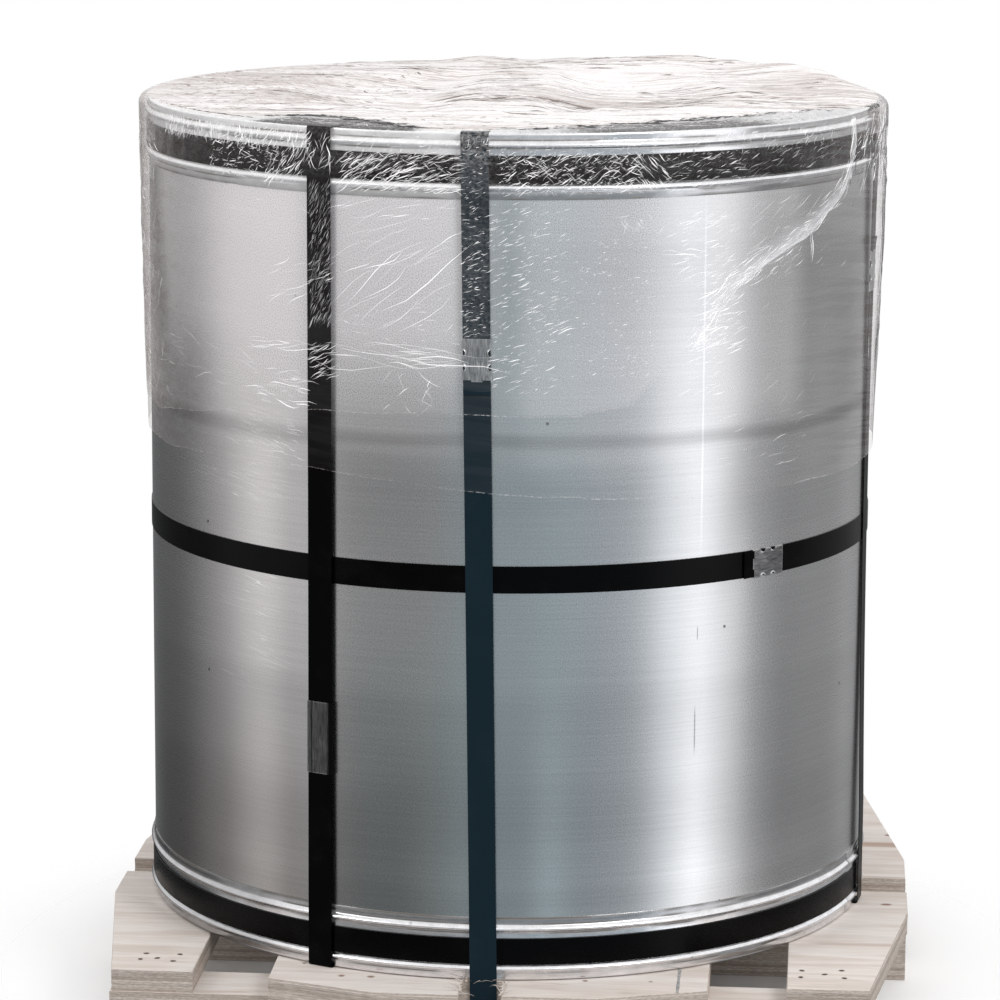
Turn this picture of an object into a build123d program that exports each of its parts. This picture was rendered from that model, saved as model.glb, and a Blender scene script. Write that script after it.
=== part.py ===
from build123d import *
import os
from math import degrees, sqrt

# A coil of steel strip, eye to the sky, strapped to a plywood pallet and wrapped at the top.
# Millimetres, +Z up. The origin is on the floor under the middle of the pallet, the front is -Y.
# An azimuth is 0 at the front and grows towards +X.

# Coil
bore_diameter = 610.0
coil_wall = 145.0
strip_width = 1000.0
coil_shift_x = -11.0
lap_depth = 1.5
lap_place_shares = (0.3, 0.8)
lap_depth_shares = (0.4, 1.0)

# Edge protectors, one on each rim: a flange on the end face and a skirt with two rolled beads
ring_sheet = 1.0
ring_skirt = 76.0
ring_flange = 70.0
ring_gap = 0.2
bead_rise = 4.0
bead_half_width = 4.0
bead_half_crown = 1.5
bead_from_rim = 14.0
bead_spacing = 49.0
ring_lap_length = 36.0
ring_lap_rise = 0.6
ring_lap_inset = 2.0
bottom_lap_azimuth = 73.3
top_lap_azimuth = 200.0

# Steel straps
strap_width = 32.0
strap_thickness = 1.0
strap_gap = 0.2
strap_bend = 1.5
middle_strap_height = 466.0
front_left_strap_azimuth = -25.0
right_strap_azimuth = 81.0
back_left_strap_azimuth = 210.0

# Seals, folded over the edges of a strap and crimped
seal_sheet = 0.9
seal_gap = 0.15
seal_notch_depth = 4.0
seal_notch_spacing = 17.0
seal_length = 50.0
long_seal_length = 87.0
top_seal_azimuth = 160.0
middle_seal_azimuth = 47.0
bottom_seal_azimuth = 200.0
long_seal_height = 279.0
right_seal_height = 800.0
tie_down_seal_height = 740.0

# Film over the top and the eye
film_stand_off = 10.0
film_thickness = 0.8
film_drop = 420.0
film_gap = 0.6

# Pallet: deck boards along Y on three cross bearers along X
deck_thickness = 27.0
deck_overhang_x = 50.0
deck_overhang_y = 60.0
centre_board_width = 520.0
centre_flat_width = 260.0
centre_corner_cut = 44.0
side_board_width = 148.0
side_board_setback = 62.0
side_flat_length = 244.0
side_corner_cut = 50.0
deck_slot = 60.0
tie_notch_width = 50.0
tie_notch_shift_x = 6.0
tie_notch_gap = 3.0
bearer_height = 85.0
bearer_width = 88.0
bearer_proud = 2.0
groove_gap = 2.0
groove_depth_gap = 0.5
cut_overrun = 5.0

# Levels and radii that follow from the sizes above
deck_top = bearer_height + deck_thickness
flange_low = deck_top + strap_thickness
coil_bottom = flange_low + ring_sheet
coil_top = coil_bottom + strip_width
flange_top = coil_top + ring_sheet
bore_radius = bore_diameter / 2
coil_radius = bore_radius + coil_wall
ring_inner = coil_radius + ring_gap
ring_outer = ring_inner + ring_sheet
flange_inner = coil_radius - ring_flange
channel_radius = ring_outer + ring_lap_rise + strap_gap
outer_run = ring_outer + bead_rise + strap_gap
bore_run = sqrt(bore_radius**2 - (strap_width / 2) ** 2) - strap_gap
pallet_half_x = coil_radius + deck_overhang_x
pallet_half_y = coil_radius + deck_overhang_y
side_front = pallet_half_y - side_board_setback
tie_reach = outer_run + strap_thickness


def at_azimuth(azimuth):
    """Turn what was built along +X to an azimuth about the coil's axis."""
    return Pos(coil_shift_x, 0, 0) * Rot(0, 0, azimuth - 90)


def turned(points, arc=360):
    """Solid turned about Z from the corners of a closed section, in (radius, height)."""
    section = Polyline(*points, close=True)
    return revolve(Plane.XZ * make_face(section.edges()), Axis.Z, arc)


def band(inner, outer, low, high):
    """Corners of a plain rectangular section."""
    return [(inner, low), (outer, low), (outer, high), (inner, high)]


def steel_coil():
    """The wound strip with its bore; groups of turns stand back a little on both ends."""
    free_wall = flange_inner - bore_radius
    steps = [(bore_radius, lap_depth_shares[0] * lap_depth)]
    for place, depth, deeper in zip(lap_place_shares, lap_depth_shares, lap_depth_shares[1:] + (0,)):
        radius = bore_radius + place * free_wall
        steps.append((radius, depth * lap_depth))
        steps.append((radius, deeper * lap_depth))
    steps.append((coil_radius, 0))
    upper = [(radius, coil_top - depth) for radius, depth in steps]
    lower = [(radius, coil_bottom + depth) for radius, depth in reversed(steps)]
    return Pos(coil_shift_x, 0, 0) * turned(upper + lower)


def skirt_side(outer, high, low):
    """Points down the outer side of a skirt, from its rim to its lip past the two beads."""
    points = [(outer, high)]
    for from_rim in (bead_from_rim, bead_from_rim + bead_spacing):
        middle = ring_sheet - from_rim
        points.append((outer, middle + bead_half_width))
        points.append((outer + bead_rise, middle + bead_half_crown))
        points.append((outer + bead_rise, middle - bead_half_crown))
        points.append((outer, middle - bead_half_width))
    points.append((outer, low))
    return points


def edge_protector(lap_azimuth):
    """Ring for the upper rim, its end face level at z = 0, with the lap where the strip's ends meet."""
    lip = ring_sheet - ring_skirt
    inner_side = [
        (ring_inner, lip),
        (ring_inner, 0),
        (flange_inner, 0),
        (flange_inner, ring_sheet),
    ]
    ring = turned(skirt_side(ring_outer, ring_sheet, lip) + inner_side)
    lap_high = ring_sheet - ring_lap_inset
    lap_low = lip + ring_lap_inset
    lap_inner = ring_outer - ring_sheet / 2
    lap_back = [(lap_inner, lap_low), (lap_inner, lap_high)]
    lap_arc = degrees(ring_lap_length / ring_outer)
    lap = turned(skirt_side(ring_outer + ring_lap_rise, lap_high, lap_low) + lap_back, lap_arc)
    return ring + Rot(0, 0, lap_azimuth - 90) * lap


def hoop_strap(inner, low):
    """Strap that runs level round the coil."""
    section = band(inner, inner + strap_thickness, low, low + strap_width)
    return Pos(coil_shift_x, 0, 0) * turned(section)


def strap_loop(near, far, bottom, top):
    """Strap that runs in an upright plane, its inner faces at these four places."""
    across = far - near
    height = top - bottom
    inside = Rectangle(across, height)
    inside = chamfer(inside.vertices(), strap_bend)
    outside = Rectangle(across + 2 * strap_thickness, height + 2 * strap_thickness)
    outside = chamfer(outside.vertices(), strap_bend + strap_thickness / 2)
    middle = Pos((near + far) / 2, (bottom + top) / 2)
    return extrude(Plane.XZ * middle * (outside - inside), strap_width / 2, both=True)


def crimped_seal(length):
    """Seal over a strap that runs along X with its inner face at z = 0."""
    inside_half = strap_width / 2 + seal_gap
    outside_half = inside_half + seal_sheet
    inside_top = strap_thickness + seal_gap
    outside_top = inside_top + seal_sheet
    section = Polyline(
        (-outside_half, 0),
        (-outside_half, outside_top),
        (outside_half, outside_top),
        (outside_half, 0),
        (inside_half, 0),
        (inside_half, inside_top),
        (-inside_half, inside_top),
        (-inside_half, 0),
        close=True,
    )
    body = extrude(Plane.YZ * make_face(section.edges()), length / 2, both=True)
    folds = body.edges().filter_by(Axis.X).group_by(Axis.Z)[-1]
    body = chamfer(folds, seal_sheet / 2)
    notch_side = sqrt(2) * seal_notch_depth
    notch = extrude(Rot(0, 0, 45) * Rectangle(notch_side, notch_side), outside_top + cut_overrun)
    places = GridLocations(seal_notch_spacing, 2 * outside_half, 2, 2)
    return body - [place * notch for place in places]


def seal_on_hoop(inner, low, azimuth):
    """Seal on a level strap of this inner radius and lower edge."""
    seat = Plane((inner, 0, low + strap_width / 2), x_dir=(0, 1, 0), z_dir=(1, 0, 0))
    return at_azimuth(azimuth) * (seat * crimped_seal(seal_length))


def seal_on_loop(height, length, azimuth):
    """Seal on the outer run of an upright strap, at a height above the coil's lower end."""
    seat = Plane((outer_run, 0, coil_bottom + height), x_dir=(0, 0, 1), z_dir=(1, 0, 0))
    return at_azimuth(azimuth) * (seat * crimped_seal(length))


def film_wrap():
    """Thin cap of film over the top face, the eye and the upper part of the side."""
    outside = coil_radius + film_stand_off
    inside = outside - film_thickness
    inside_top = flange_top + strap_thickness + film_gap
    outside_top = inside_top + film_thickness
    low = coil_top - film_drop
    section = [(0, inside_top), (inside, inside_top), (inside, low), (outside, low)]
    section += [(outside, outside_top), (0, outside_top)]
    return Pos(coil_shift_x, 0, 0) * turned(section)


def centre_board():
    """Front half of the wide middle board: cut corners, and the notch that the tie-down passes."""
    half = centre_board_width / 2
    flat_half = centre_flat_width / 2
    outline = Polyline(
        (-half, -deck_slot / 2),
        (half, -deck_slot / 2),
        (half, centre_corner_cut - pallet_half_y),
        (flat_half, -pallet_half_y),
        (-flat_half, -pallet_half_y),
        (-half, centre_corner_cut - pallet_half_y),
        close=True,
    )
    board = extrude(make_face(outline.edges()), deck_thickness)
    notch_back = tie_notch_gap - outer_run
    notch_front = -pallet_half_y - cut_overrun
    notch_middle_x = coil_shift_x + tie_notch_shift_x
    notch = Pos(notch_middle_x, (notch_back + notch_front) / 2) * Rectangle(
        tie_notch_width, notch_back - notch_front
    )
    board -= extrude(notch, deck_thickness)
    return Pos(0, 0, bearer_height) * board


def side_board():
    """Front right board, its outer corner cut back towards the front."""
    inner = pallet_half_x - side_board_width
    outline = Polyline(
        (inner, -deck_slot / 2),
        (pallet_half_x, -deck_slot / 2),
        (pallet_half_x, -side_flat_length / 2),
        (pallet_half_x - side_corner_cut, -side_front),
        (inner, -side_front),
        close=True,
    )
    return Pos(0, 0, bearer_height) * extrude(make_face(outline.edges()), deck_thickness)


def cross_bearer(half_length, middle_y):
    """Bearer along X with a shallow groove on top for the tie-down strap."""
    groove_width = strap_width + 2 * groove_gap
    groove_depth = strap_thickness + groove_depth_gap
    half = bearer_width / 2
    section = Rectangle(2 * half_length, bearer_height, align=(Align.CENTER, Align.MIN))
    groove = Pos(coil_shift_x, bearer_height) * Rectangle(groove_width, 2 * groove_depth)
    return Pos(0, middle_y, 0) * extrude(Plane.XZ * (section - groove), half, both=True)


def all_parts():
    """Every piece by the name of its node."""
    parts = {"steel_coil": steel_coil()}

    upper_ring = edge_protector(top_lap_azimuth)
    lower_ring = mirror(edge_protector(bottom_lap_azimuth), Plane.XY)
    parts["top_edge_protector"] = Pos(coil_shift_x, 0, coil_top) * upper_ring
    parts["bottom_edge_protector"] = Pos(coil_shift_x, 0, coil_bottom) * lower_ring

    seal_room = seal_gap + seal_sheet + strap_gap
    upper_seat = flange_top - bead_from_rim - bead_spacing + bead_half_width + seal_room
    lower_seat = flange_low + bead_from_rim + bead_half_width + seal_room
    middle_low = coil_bottom + middle_strap_height
    hoops = {
        "top_strap": (channel_radius, upper_seat, top_seal_azimuth),
        "middle_strap": (coil_radius + strap_gap, middle_low, middle_seal_azimuth),
        "bottom_strap": (channel_radius, lower_seat, bottom_seal_azimuth),
    }
    for name, (inner, low, seal_azimuth) in hoops.items():
        parts[name] = hoop_strap(inner, low)
        parts[name + "_seal"] = seal_on_hoop(inner, low, seal_azimuth)

    eye_loop = strap_loop(bore_run, outer_run, flange_low, flange_top)
    eye_straps = {
        "front_left": (front_left_strap_azimuth, long_seal_height, long_seal_length),
        "right": (right_strap_azimuth, right_seal_height, seal_length),
        "back_left": (back_left_strap_azimuth, long_seal_height, long_seal_length),
    }
    for name, (azimuth, height, length) in eye_straps.items():
        parts["eye_strap_" + name] = at_azimuth(azimuth) * eye_loop
        parts["eye_strap_" + name + "_seal"] = seal_on_loop(height, length, azimuth)

    tie_down = strap_loop(-outer_run, outer_run, bearer_height, flange_top)
    parts["tie_down_strap"] = at_azimuth(0) * tie_down
    parts["tie_down_strap_seal"] = seal_on_loop(tie_down_seal_height, seal_length, 0)
    parts["film_wrap"] = film_wrap()

    front_boards = {"centre": centre_board(), "right": side_board()}
    front_boards["left"] = mirror(front_boards["right"], Plane.YZ)
    for name, board in front_boards.items():
        parts["deck_board_front_" + name] = board
        parts["deck_board_back_" + name] = mirror(board, Plane.XZ)

    end_half_length = pallet_half_x - side_corner_cut + bearer_proud
    end_middle = side_front + bearer_proud - bearer_width / 2
    parts["cross_bearer_front"] = cross_bearer(end_half_length, -end_middle)
    parts["cross_bearer_middle"] = cross_bearer(pallet_half_x, 0)
    parts["cross_bearer_back"] = cross_bearer(end_half_length, end_middle)
    return parts


os.makedirs("parts", exist_ok=True)
for node, solid in all_parts().items():
    export_step(solid, os.path.join("parts", node + ".step"))
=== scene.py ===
import math

import bmesh
import bpy
import numpy as np
from mathutils import Matrix, Vector


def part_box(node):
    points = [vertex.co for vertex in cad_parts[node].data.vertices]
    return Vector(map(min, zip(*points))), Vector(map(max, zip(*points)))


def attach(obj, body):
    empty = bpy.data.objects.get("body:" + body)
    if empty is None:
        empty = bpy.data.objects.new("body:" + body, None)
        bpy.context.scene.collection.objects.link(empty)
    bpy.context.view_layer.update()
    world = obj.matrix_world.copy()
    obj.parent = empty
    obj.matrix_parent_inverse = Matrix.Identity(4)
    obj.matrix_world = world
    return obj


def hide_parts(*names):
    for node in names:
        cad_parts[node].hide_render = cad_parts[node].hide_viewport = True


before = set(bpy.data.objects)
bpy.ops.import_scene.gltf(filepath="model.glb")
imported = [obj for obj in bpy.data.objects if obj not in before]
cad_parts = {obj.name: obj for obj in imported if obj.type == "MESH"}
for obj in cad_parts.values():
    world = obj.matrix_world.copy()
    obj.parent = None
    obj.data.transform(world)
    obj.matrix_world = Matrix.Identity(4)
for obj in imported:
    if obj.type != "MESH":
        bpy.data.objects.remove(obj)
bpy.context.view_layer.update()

MM = 0.001

coil_low, coil_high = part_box("steel_coil")
AXIS_X = (coil_low.x + coil_high.x) / 2
COIL_R = (coil_high.x - coil_low.x) / 2
BORE_R = 305 * MM
COIL_BOTTOM, COIL_TOP = coil_low.z, coil_high.z
DECK_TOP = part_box("deck_board_front_left")[1].z
DECK_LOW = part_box("deck_board_front_left")[0].z
STRAP_WIDTH = 32 * MM

# Camera, found from the strap hoops' ellipses: it stands 5.2 m away and looks down on the coil.
CAMERA_LENS = 150.79
CAMERA_DISTANCE = 5.1969
CAMERA_HEIGHT = 1.6145
CAMERA_TURN = math.radians(4.228)
CAMERA_PITCH = math.radians(11.016)
CAMERA_YAW = -0.0024
CAMERA_ROLL = -0.0063


# Node trees

class Value:
    """A socket in a node tree that adds, subtracts and multiplies like a number."""

    def __init__(self, tree, socket):
        self.tree, self.socket = tree, socket

    def __add__(self, other):
        return self.tree.math("ADD", self, other)

    def __mul__(self, other):
        return self.tree.math("MULTIPLY", self, other)

    def __sub__(self, other):
        return self.tree.math("SUBTRACT", self, other)

    def __rsub__(self, other):
        return self.tree.math("SUBTRACT", other, self)

    __radd__, __rmul__ = __add__, __mul__


class Tree:
    """Short calls that build one node tree. Colours are red, green and blue."""

    def __init__(self, tree, material=None):
        self.nodes, self.links, self.material = tree.nodes, tree.links, material
        self.nodes.clear()

    def add(self, kind, inputs=None, **settings):
        node = self.nodes.new("ShaderNode" + kind)
        for name, value in settings.items():
            setattr(node, name, value)
        for name, value in (inputs or {}).items():
            self.put(node.inputs[name], value)
        return node

    def put(self, socket, value):
        if isinstance(value, Value):
            self.links.new(value.socket, socket)
        else:
            socket.default_value = (*value, 1.0) if socket.type == "RGBA" else value

    def out(self, kind, output, inputs=None, **settings):
        """One output of a new node."""
        return Value(self, self.add(kind, inputs, **settings).outputs[output])

    def math(self, operation, a, b=0.0, clamp=False):
        return self.out("Math", 0, {0: a, 1: b}, operation=operation, use_clamp=clamp)

    def vector(self, operation, a, b=(0.0, 0.0, 0.0), output="Vector"):
        return self.out("VectorMath", output, {0: a, 1: b}, operation=operation)

    def scaled(self, vector, scale):
        return self.out("VectorMath", "Vector", {0: vector, "Scale": scale}, operation="SCALE")

    def split(self, vector):
        return [Value(self, socket) for socket in self.add("SeparateXYZ", {0: vector}).outputs]

    def join(self, x, y=0.0):
        return self.out("CombineXYZ", 0, {0: x, 1: y})

    def object_place(self):
        return self.out("TexCoord", "Object")

    def attribute(self, name):
        return self.out("Attribute", "Fac", attribute_name=name)

    def turned(self, vector, degrees):
        """The vector turned by minus the angle about z."""
        return self.out("Mapping", 0, {"Vector": vector, "Rotation": (0, 0, -math.radians(degrees))})

    def noise(self, vector, scale, detail=1.0, roughness=0.5, distortion=0.0, solid=False):
        """Noise over a flat place, or through a solid one; a scale of two numbers stretches it."""
        if isinstance(scale, tuple):
            vector, scale = self.vector("MULTIPLY", vector, (*scale, 1.0)), 1.0
        return self.out("TexNoise", "Fac", {"Vector": vector, "Scale": scale, "Detail": detail,
                                            "Roughness": roughness, "Distortion": distortion},
                        noise_dimensions="3D" if solid else "2D")

    def cells(self, vector, scale):
        """Distance to the nearest of scattered points, and a random share for each point."""
        node = self.add("TexVoronoi", {"Vector": vector, "Scale": scale}, voronoi_dimensions="2D")
        return Value(self, node.outputs["Distance"]), self.split(Value(self, node.outputs["Color"]))[0]

    def remap(self, value, low, high, to_low=0.0, to_high=1.0, kind="SMOOTHSTEP"):
        return self.out("MapRange", 0, {0: value, 1: low, 2: high, 3: to_low, 4: to_high},
                        interpolation_type=kind)

    def spread(self, noise, low, high):
        """Noise spread evenly from low to high."""
        return self.remap(noise, 0.3, 0.7, low, high, "LINEAR")

    def band(self, value, middle, flat, soft):
        """1 within flat of the middle, falling to 0 over soft."""
        return self.remap(self.math("ABSOLUTE", value - middle), flat, flat + soft, 1.0, 0.0)

    def lines(self, value, width):
        """Thin lines where noise crosses its middle value."""
        return self.band(value, 0.5, 0.0, width)

    def mix(self, share, a, b, kind="MIX"):
        return self.out("Mix", 2, {0: share, 6: a, 7: b}, data_type="RGBA", blend_type=kind)

    def bump(self, height, distance, strength):
        return self.out("Bump", 0, {"Height": height, "Distance": distance, "Strength": strength})

    def finish(self, shader):
        self.put(self.add("OutputMaterial").inputs["Surface"], shader)

    def paint(self, **inputs):
        """Ends the tree with a Principled shader and gives back its material."""
        names = {key.replace("_", " ").title().replace("Ior", "IOR"): value for key, value in inputs.items()}
        self.finish(self.out("BsdfPrincipled", 0, names))
        return self.material


def grey(level):
    return (level, level, level)


def new_tree(name):
    material = bpy.data.materials.new(name)
    material.use_nodes = True
    return Tree(material.node_tree, material)


# Materials

def unrolled(t):
    """Place on the coil's side laid flat: length round it from the front, and height."""
    x, y, z = t.split(t.object_place())
    return t.join(t.math("ARCTAN2", x - AXIS_X, y * -1.0) * COIL_R, z)


def radius_from_axis(t):
    x, y, _ = t.split(t.object_place())
    return t.vector("LENGTH", t.join(x - AXIS_X, y), output="Value")


def upward(t):
    """1 on a level face, 0 on an upright one."""
    return t.math("ABSOLUTE", t.split(t.out("NewGeometry", "Normal"))[2])


# Level bands painted darker on the strip: height, flat half width, soft edge and depth. The deep band at
# 0.755 m is a painted reflection of a level edge of the room.
COIL_BANDS = ((0.755, 0.002, 0.012, 0.28), (0.93, 0.02, 0.05, 0.06), (0.30, 0.01, 0.06, 0.08),
              (0.205, 0.004, 0.02, 0.07))
# Marks on the strip: place round it, width, height, length and how much lighter or darker. The first,
# lighter one is a painted highlight line where a lamp reflects.
COIL_MARKS = ((0.2682, 0.0014, 0.83, 0.15, 0.20), (0.2649, 0.0008, 0.521, 0.006, -0.45),
              (0.2630, 0.0011, 0.404, 0.020, -0.40))
# The strip's colour, and the warm and cool tints of its painted reflections.
STRIP_COLOUR, STRIP_REFLECTED_WARM, STRIP_REFLECTED_COOL = (0.692, 0.69, 0.694), (1.0, 0.93, 0.885), (0.80, 1.0, 0.985)


def coil_steel():
    """Satin strip with rolling lines, marks and scratches, painted reflections and painted milky film light;
    its turns show on the ends.
    """
    t = new_tree("coil_steel")
    flat = unrolled(t)
    along, height, _ = t.split(flat)
    grain = t.noise(flat, 640.0, 2.0, 0.75)
    rolled = t.noise(flat, (3.0, 420.0), 1.0, 0.6)
    cloud = t.noise(flat, (2.2, 5.0), 2.0, 0.55)
    tone = t.remap(grain, 0.25, 0.75, 0.88, 1.09, "LINEAR") * t.spread(rolled, 0.96, 1.03)
    tone = tone * t.spread(cloud, 0.93, 1.05)
    wavy = height + (cloud - 0.5) * 0.03
    for middle, flat_part, soft, depth in COIL_BANDS:
        tone = tone * (1 - t.band(wavy, middle, flat_part, soft) * depth)
    # Painted reflection: the strip is darker below a second reflected level edge near 0.46 m.
    tone = tone * t.remap(wavy, 0.44, 0.475, 0.90, 1.0)
    scratched = t.noise(t.turned(flat, -8), (7.0, 330.0), 1.0, 0.5, 0.25)
    scratches = t.lines(scratched, 0.025) * t.remap(t.noise(flat, (9.0, 14.0)), 0.5, 0.62)
    left_patch = t.band(along, -0.34, 0.03, 0.12) * t.band(height, 0.62, 0.05, 0.22)
    from_speck, share = t.cells(flat, 13.0)
    speck = t.remap(from_speck, 0.018, 0.03, 0.75, 0.0) * t.remap(share, 0.92, 0.93)
    tone = tone * (1 - speck) + scratches * (left_patch + 0.12) * 0.35
    for middle, width, level, tall, depth in COIL_MARKS:
        mark = t.band(along, middle, width * 0.3, width) * t.band(height, level, tall * 0.7, tall)
        tone = tone + mark * depth
    # The shade attribute holds painted reflections: dark and light bands where the strip mirrors the floor,
    # lamps and walls.
    side = t.scaled(STRIP_COLOUR, tone * t.attribute("shade"))
    # The tint attribute paints reflected colour: warm at the left, cool by the tie-down.
    tint = t.attribute("tint")
    side = t.mix(t.math("MULTIPLY", tint, 1.0, True), side, STRIP_REFLECTED_WARM, "MULTIPLY")
    side = t.mix(t.math("MULTIPLY", tint, -1.0, True), side, STRIP_REFLECTED_COOL, "MULTIPLY")
    turns = t.noise(t.join(radius_from_axis(t) * 700.0), 1.0, 1.0, 0.7)
    end = t.scaled((0.62, 0.63, 0.64), t.remap(turns, 0.3, 0.7, 0.35, 1.05))
    on_end = t.remap(upward(t), 0.5, 0.8)
    # This paints milky light where the clinging film lies over the strip.
    veil_light = t.attribute("veil_light")
    misted = t.mix(t.remap(grain, 0.3, 0.7), (0.86, 0.815, 0.825), (0.97, 0.92, 0.93))
    colour = t.mix(veil_light, t.mix(on_end, side, end), misted)
    relief = t.mix(on_end, rolled, turns * 6.0)
    return t.paint(base_color=colour, metallic=t.math("SUBTRACT", 1.0, veil_light, True),
                   roughness=t.spread(grain, 0.25, 0.32) + on_end * 0.1, normal=t.bump(relief, 0.00003, 0.5))


def ring_steel():
    """Spangled zinc, darker brown along the bead grooves, the lip and the lapped ends; the top ring also
    gets painted milky light under the film and a painted dark reflection on its flange.
    """
    t = new_tree("ring_steel")
    flat = unrolled(t)
    spangle = t.noise(flat, (60.0, 150.0), 2.0, 0.6)
    grain = t.noise(flat, 700.0, 1.0, 0.7)
    stain = t.noise(flat, (9.0, 30.0), 2.0, 0.6)
    # Darker brown along the bead grooves, the lip and the lapped ends.
    dark = t.math("MULTIPLY", t.attribute("crevice_dark"), t.remap(stain, 0.36, 0.62, 0.15, 0.95), True)
    spots = t.out("TexVoronoi", "Distance", {"Vector": flat, "Scale": 42.0})
    dark = t.math("MAXIMUM", dark, t.remap(spots, 0.05, 0.12, 0.5, 0.0) * t.remap(stain, 0.54, 0.62))
    # Painted dark reflection: where rim is set, the flange is painted near black as if it mirrored a dark
    # hall, broken up by noise.
    broken = t.noise(t.object_place(), 210.0, 3.0, 0.65, solid=True)
    rim = t.attribute("rim")
    rim = rim * t.remap(broken + rim * 0.3, 0.58, 0.72)
    # The shade attribute carries painted shade below the lower bead and a painted dark reflection at the
    # left.
    tone = t.spread(spangle, 0.9, 1.06) * t.spread(grain, 0.94, 1.05) * t.attribute("shade")
    # This paints milky light where the film lies over the top ring, with a painted highlight at the left.
    veil_light = t.attribute("veil_light")
    colour = t.mix(veil_light, t.scaled((0.86, 0.86, 0.88), tone), t.scaled((0.88, 0.87, 0.87), tone))
    colour = t.mix(dark, colour, (0.10, 0.085, 0.07))
    colour = t.mix(rim, colour, grey(0.10))
    rough = t.remap(stain, 0.3, 0.7, 0.15, 0.25) + dark * 0.3
    metal = t.math("SUBTRACT", 1 - veil_light, dark * 0.7, True) * (1 - rim)
    return t.paint(base_color=colour, metallic=metal, roughness=t.math("ADD", rough, rim * 0.75, True),
                   specular_ior_level=0.5 - rim * 0.47, normal=t.bump(spangle + grain * 0.3, 0.00008, 0.6))


def strap_lacquer(name, colour, worn_colour, roughness, gloss):
    """Lacquered steel strap: a dark coat, long rub marks and dust."""
    t = new_tree(name)
    flat = unrolled(t)
    blotch = t.noise(flat, 16.0, 2.0, 0.6)
    fine = t.noise(flat, 480.0, 1.0, 0.6)
    rubbed = t.noise(flat, (30.0, 260.0), 1.0, 0.6)
    rubs = t.lines(rubbed, 0.03) * t.remap(blotch, 0.52, 0.66)
    worn = rubs * 0.3 + t.remap(blotch, 0.45, 0.75, 0.0, 0.15)
    rough = t.spread(fine, roughness - 0.05, roughness + 0.07) + worn * 0.25
    return t.paint(base_color=t.mix(worn, colour, worn_colour), metallic=0.0, roughness=rough,
                   specular_ior_level=gloss, normal=t.bump(fine + blotch, 0.00006, 0.5))


def seal_steel(name, level, roughness):
    """Brushed sheet of a strap seal; its lines run along the strap."""
    t = new_tree(name)
    flat = t.out("UVMap", 0)
    brushed = t.noise(flat, (60.0, 1500.0), 1.0, 0.65)
    wide = t.noise(flat, (25.0, 350.0), 1.0, 0.5)
    blotch = t.noise(flat, 90.0, 2.0, 0.6)
    tone = t.spread(brushed, 0.55, 1.25) * t.spread(wide, 0.8, 1.15)
    colour = t.scaled((level, level, level * 1.01), tone)
    colour = t.mix(t.remap(blotch, 0.6, 0.75, 0.0, 0.5), colour, grey(level * 0.4))
    # Painted light: a positive edge paints a highlight on the lips, ends and rims; a negative edge paints
    # shade.
    edge = t.attribute("edge")
    colour = t.mix(t.math("MULTIPLY", edge, 1.0, True), colour, grey(0.75))
    colour = t.mix(t.math("MULTIPLY", edge, -1.0, True), colour, grey(0.008))
    return t.paint(base_color=colour, metallic=1.0, normal=t.bump(brushed, 0.00008, 0.7),
                   roughness=t.spread(brushed, roughness - 0.06, roughness + 0.1))


PLY = 3 * MM
# Knots in the front board's face: place and size.
KNOTS = ((-0.224, -0.403, 0.003), (-0.174, -0.4475, 0.0045), (-0.139, -0.448, 0.005),
         (0.192, -0.4365, 0.003), (0.1145, -0.440, 0.004))
# Brown streaks in the right boards' faces: start across, place along, width and depth.
STREAKS = ((0.42, 0.19, 0.004, 0.7), (0.37, -0.262, 0.003, 0.35), (0.37, -0.345, 0.002, 0.2))


def veneer(t, x, y, place, face_grain, fibre, weather):
    """Colour of a board's face: grain, weather, stains, knots and streaks."""
    stain = t.noise(place, (5.0, 26.0), 2.0, 0.55, 0.8)
    face = t.mix(t.remap(face_grain, 0.30, 0.70), (0.635, 0.56, 0.505), (0.765, 0.705, 0.665))
    face = t.mix(t.remap(weather, 0.42, 0.7, 0.0, 0.5), face, (0.72, 0.675, 0.65))
    face = t.mix(t.remap(stain, 0.64, 0.78, 0.0, 0.4), face, (0.36, 0.25, 0.18))
    face = t.mix(t.remap(fibre, 0.35, 0.6, 0.16, 0.0), face, (0.34, 0.26, 0.21))
    away, share = t.cells(t.vector("MULTIPLY", place, (1.0, 1.6, 0.0)), 6.2)
    spot = t.remap(away + fibre * 0.03, 0.045, 0.075, 0.85, 0.0) * t.remap(share, 0.84, 0.86)
    for knot_x, knot_y, size in KNOTS:
        away = t.vector("DISTANCE", t.join(x, y), (knot_x, knot_y, 0.0), "Value")
        knot = t.remap(away + (fibre - 0.5) * 0.006, size * 0.5, size * 1.2, 0.85, 0.0)
        spot = t.math("MAXIMUM", spot, knot)
    face = t.mix(spot, face, (0.20, 0.10, 0.055))
    wavy = y + (face_grain - 0.5) * 0.02
    for start, level, width, depth in STREAKS:
        streak = t.band(wavy, level, width, width * 2.5) * t.remap(x, start, start + 0.03, 0.0, depth)
        face = t.mix(streak, face, (0.33, 0.20, 0.13))
    return face


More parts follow.
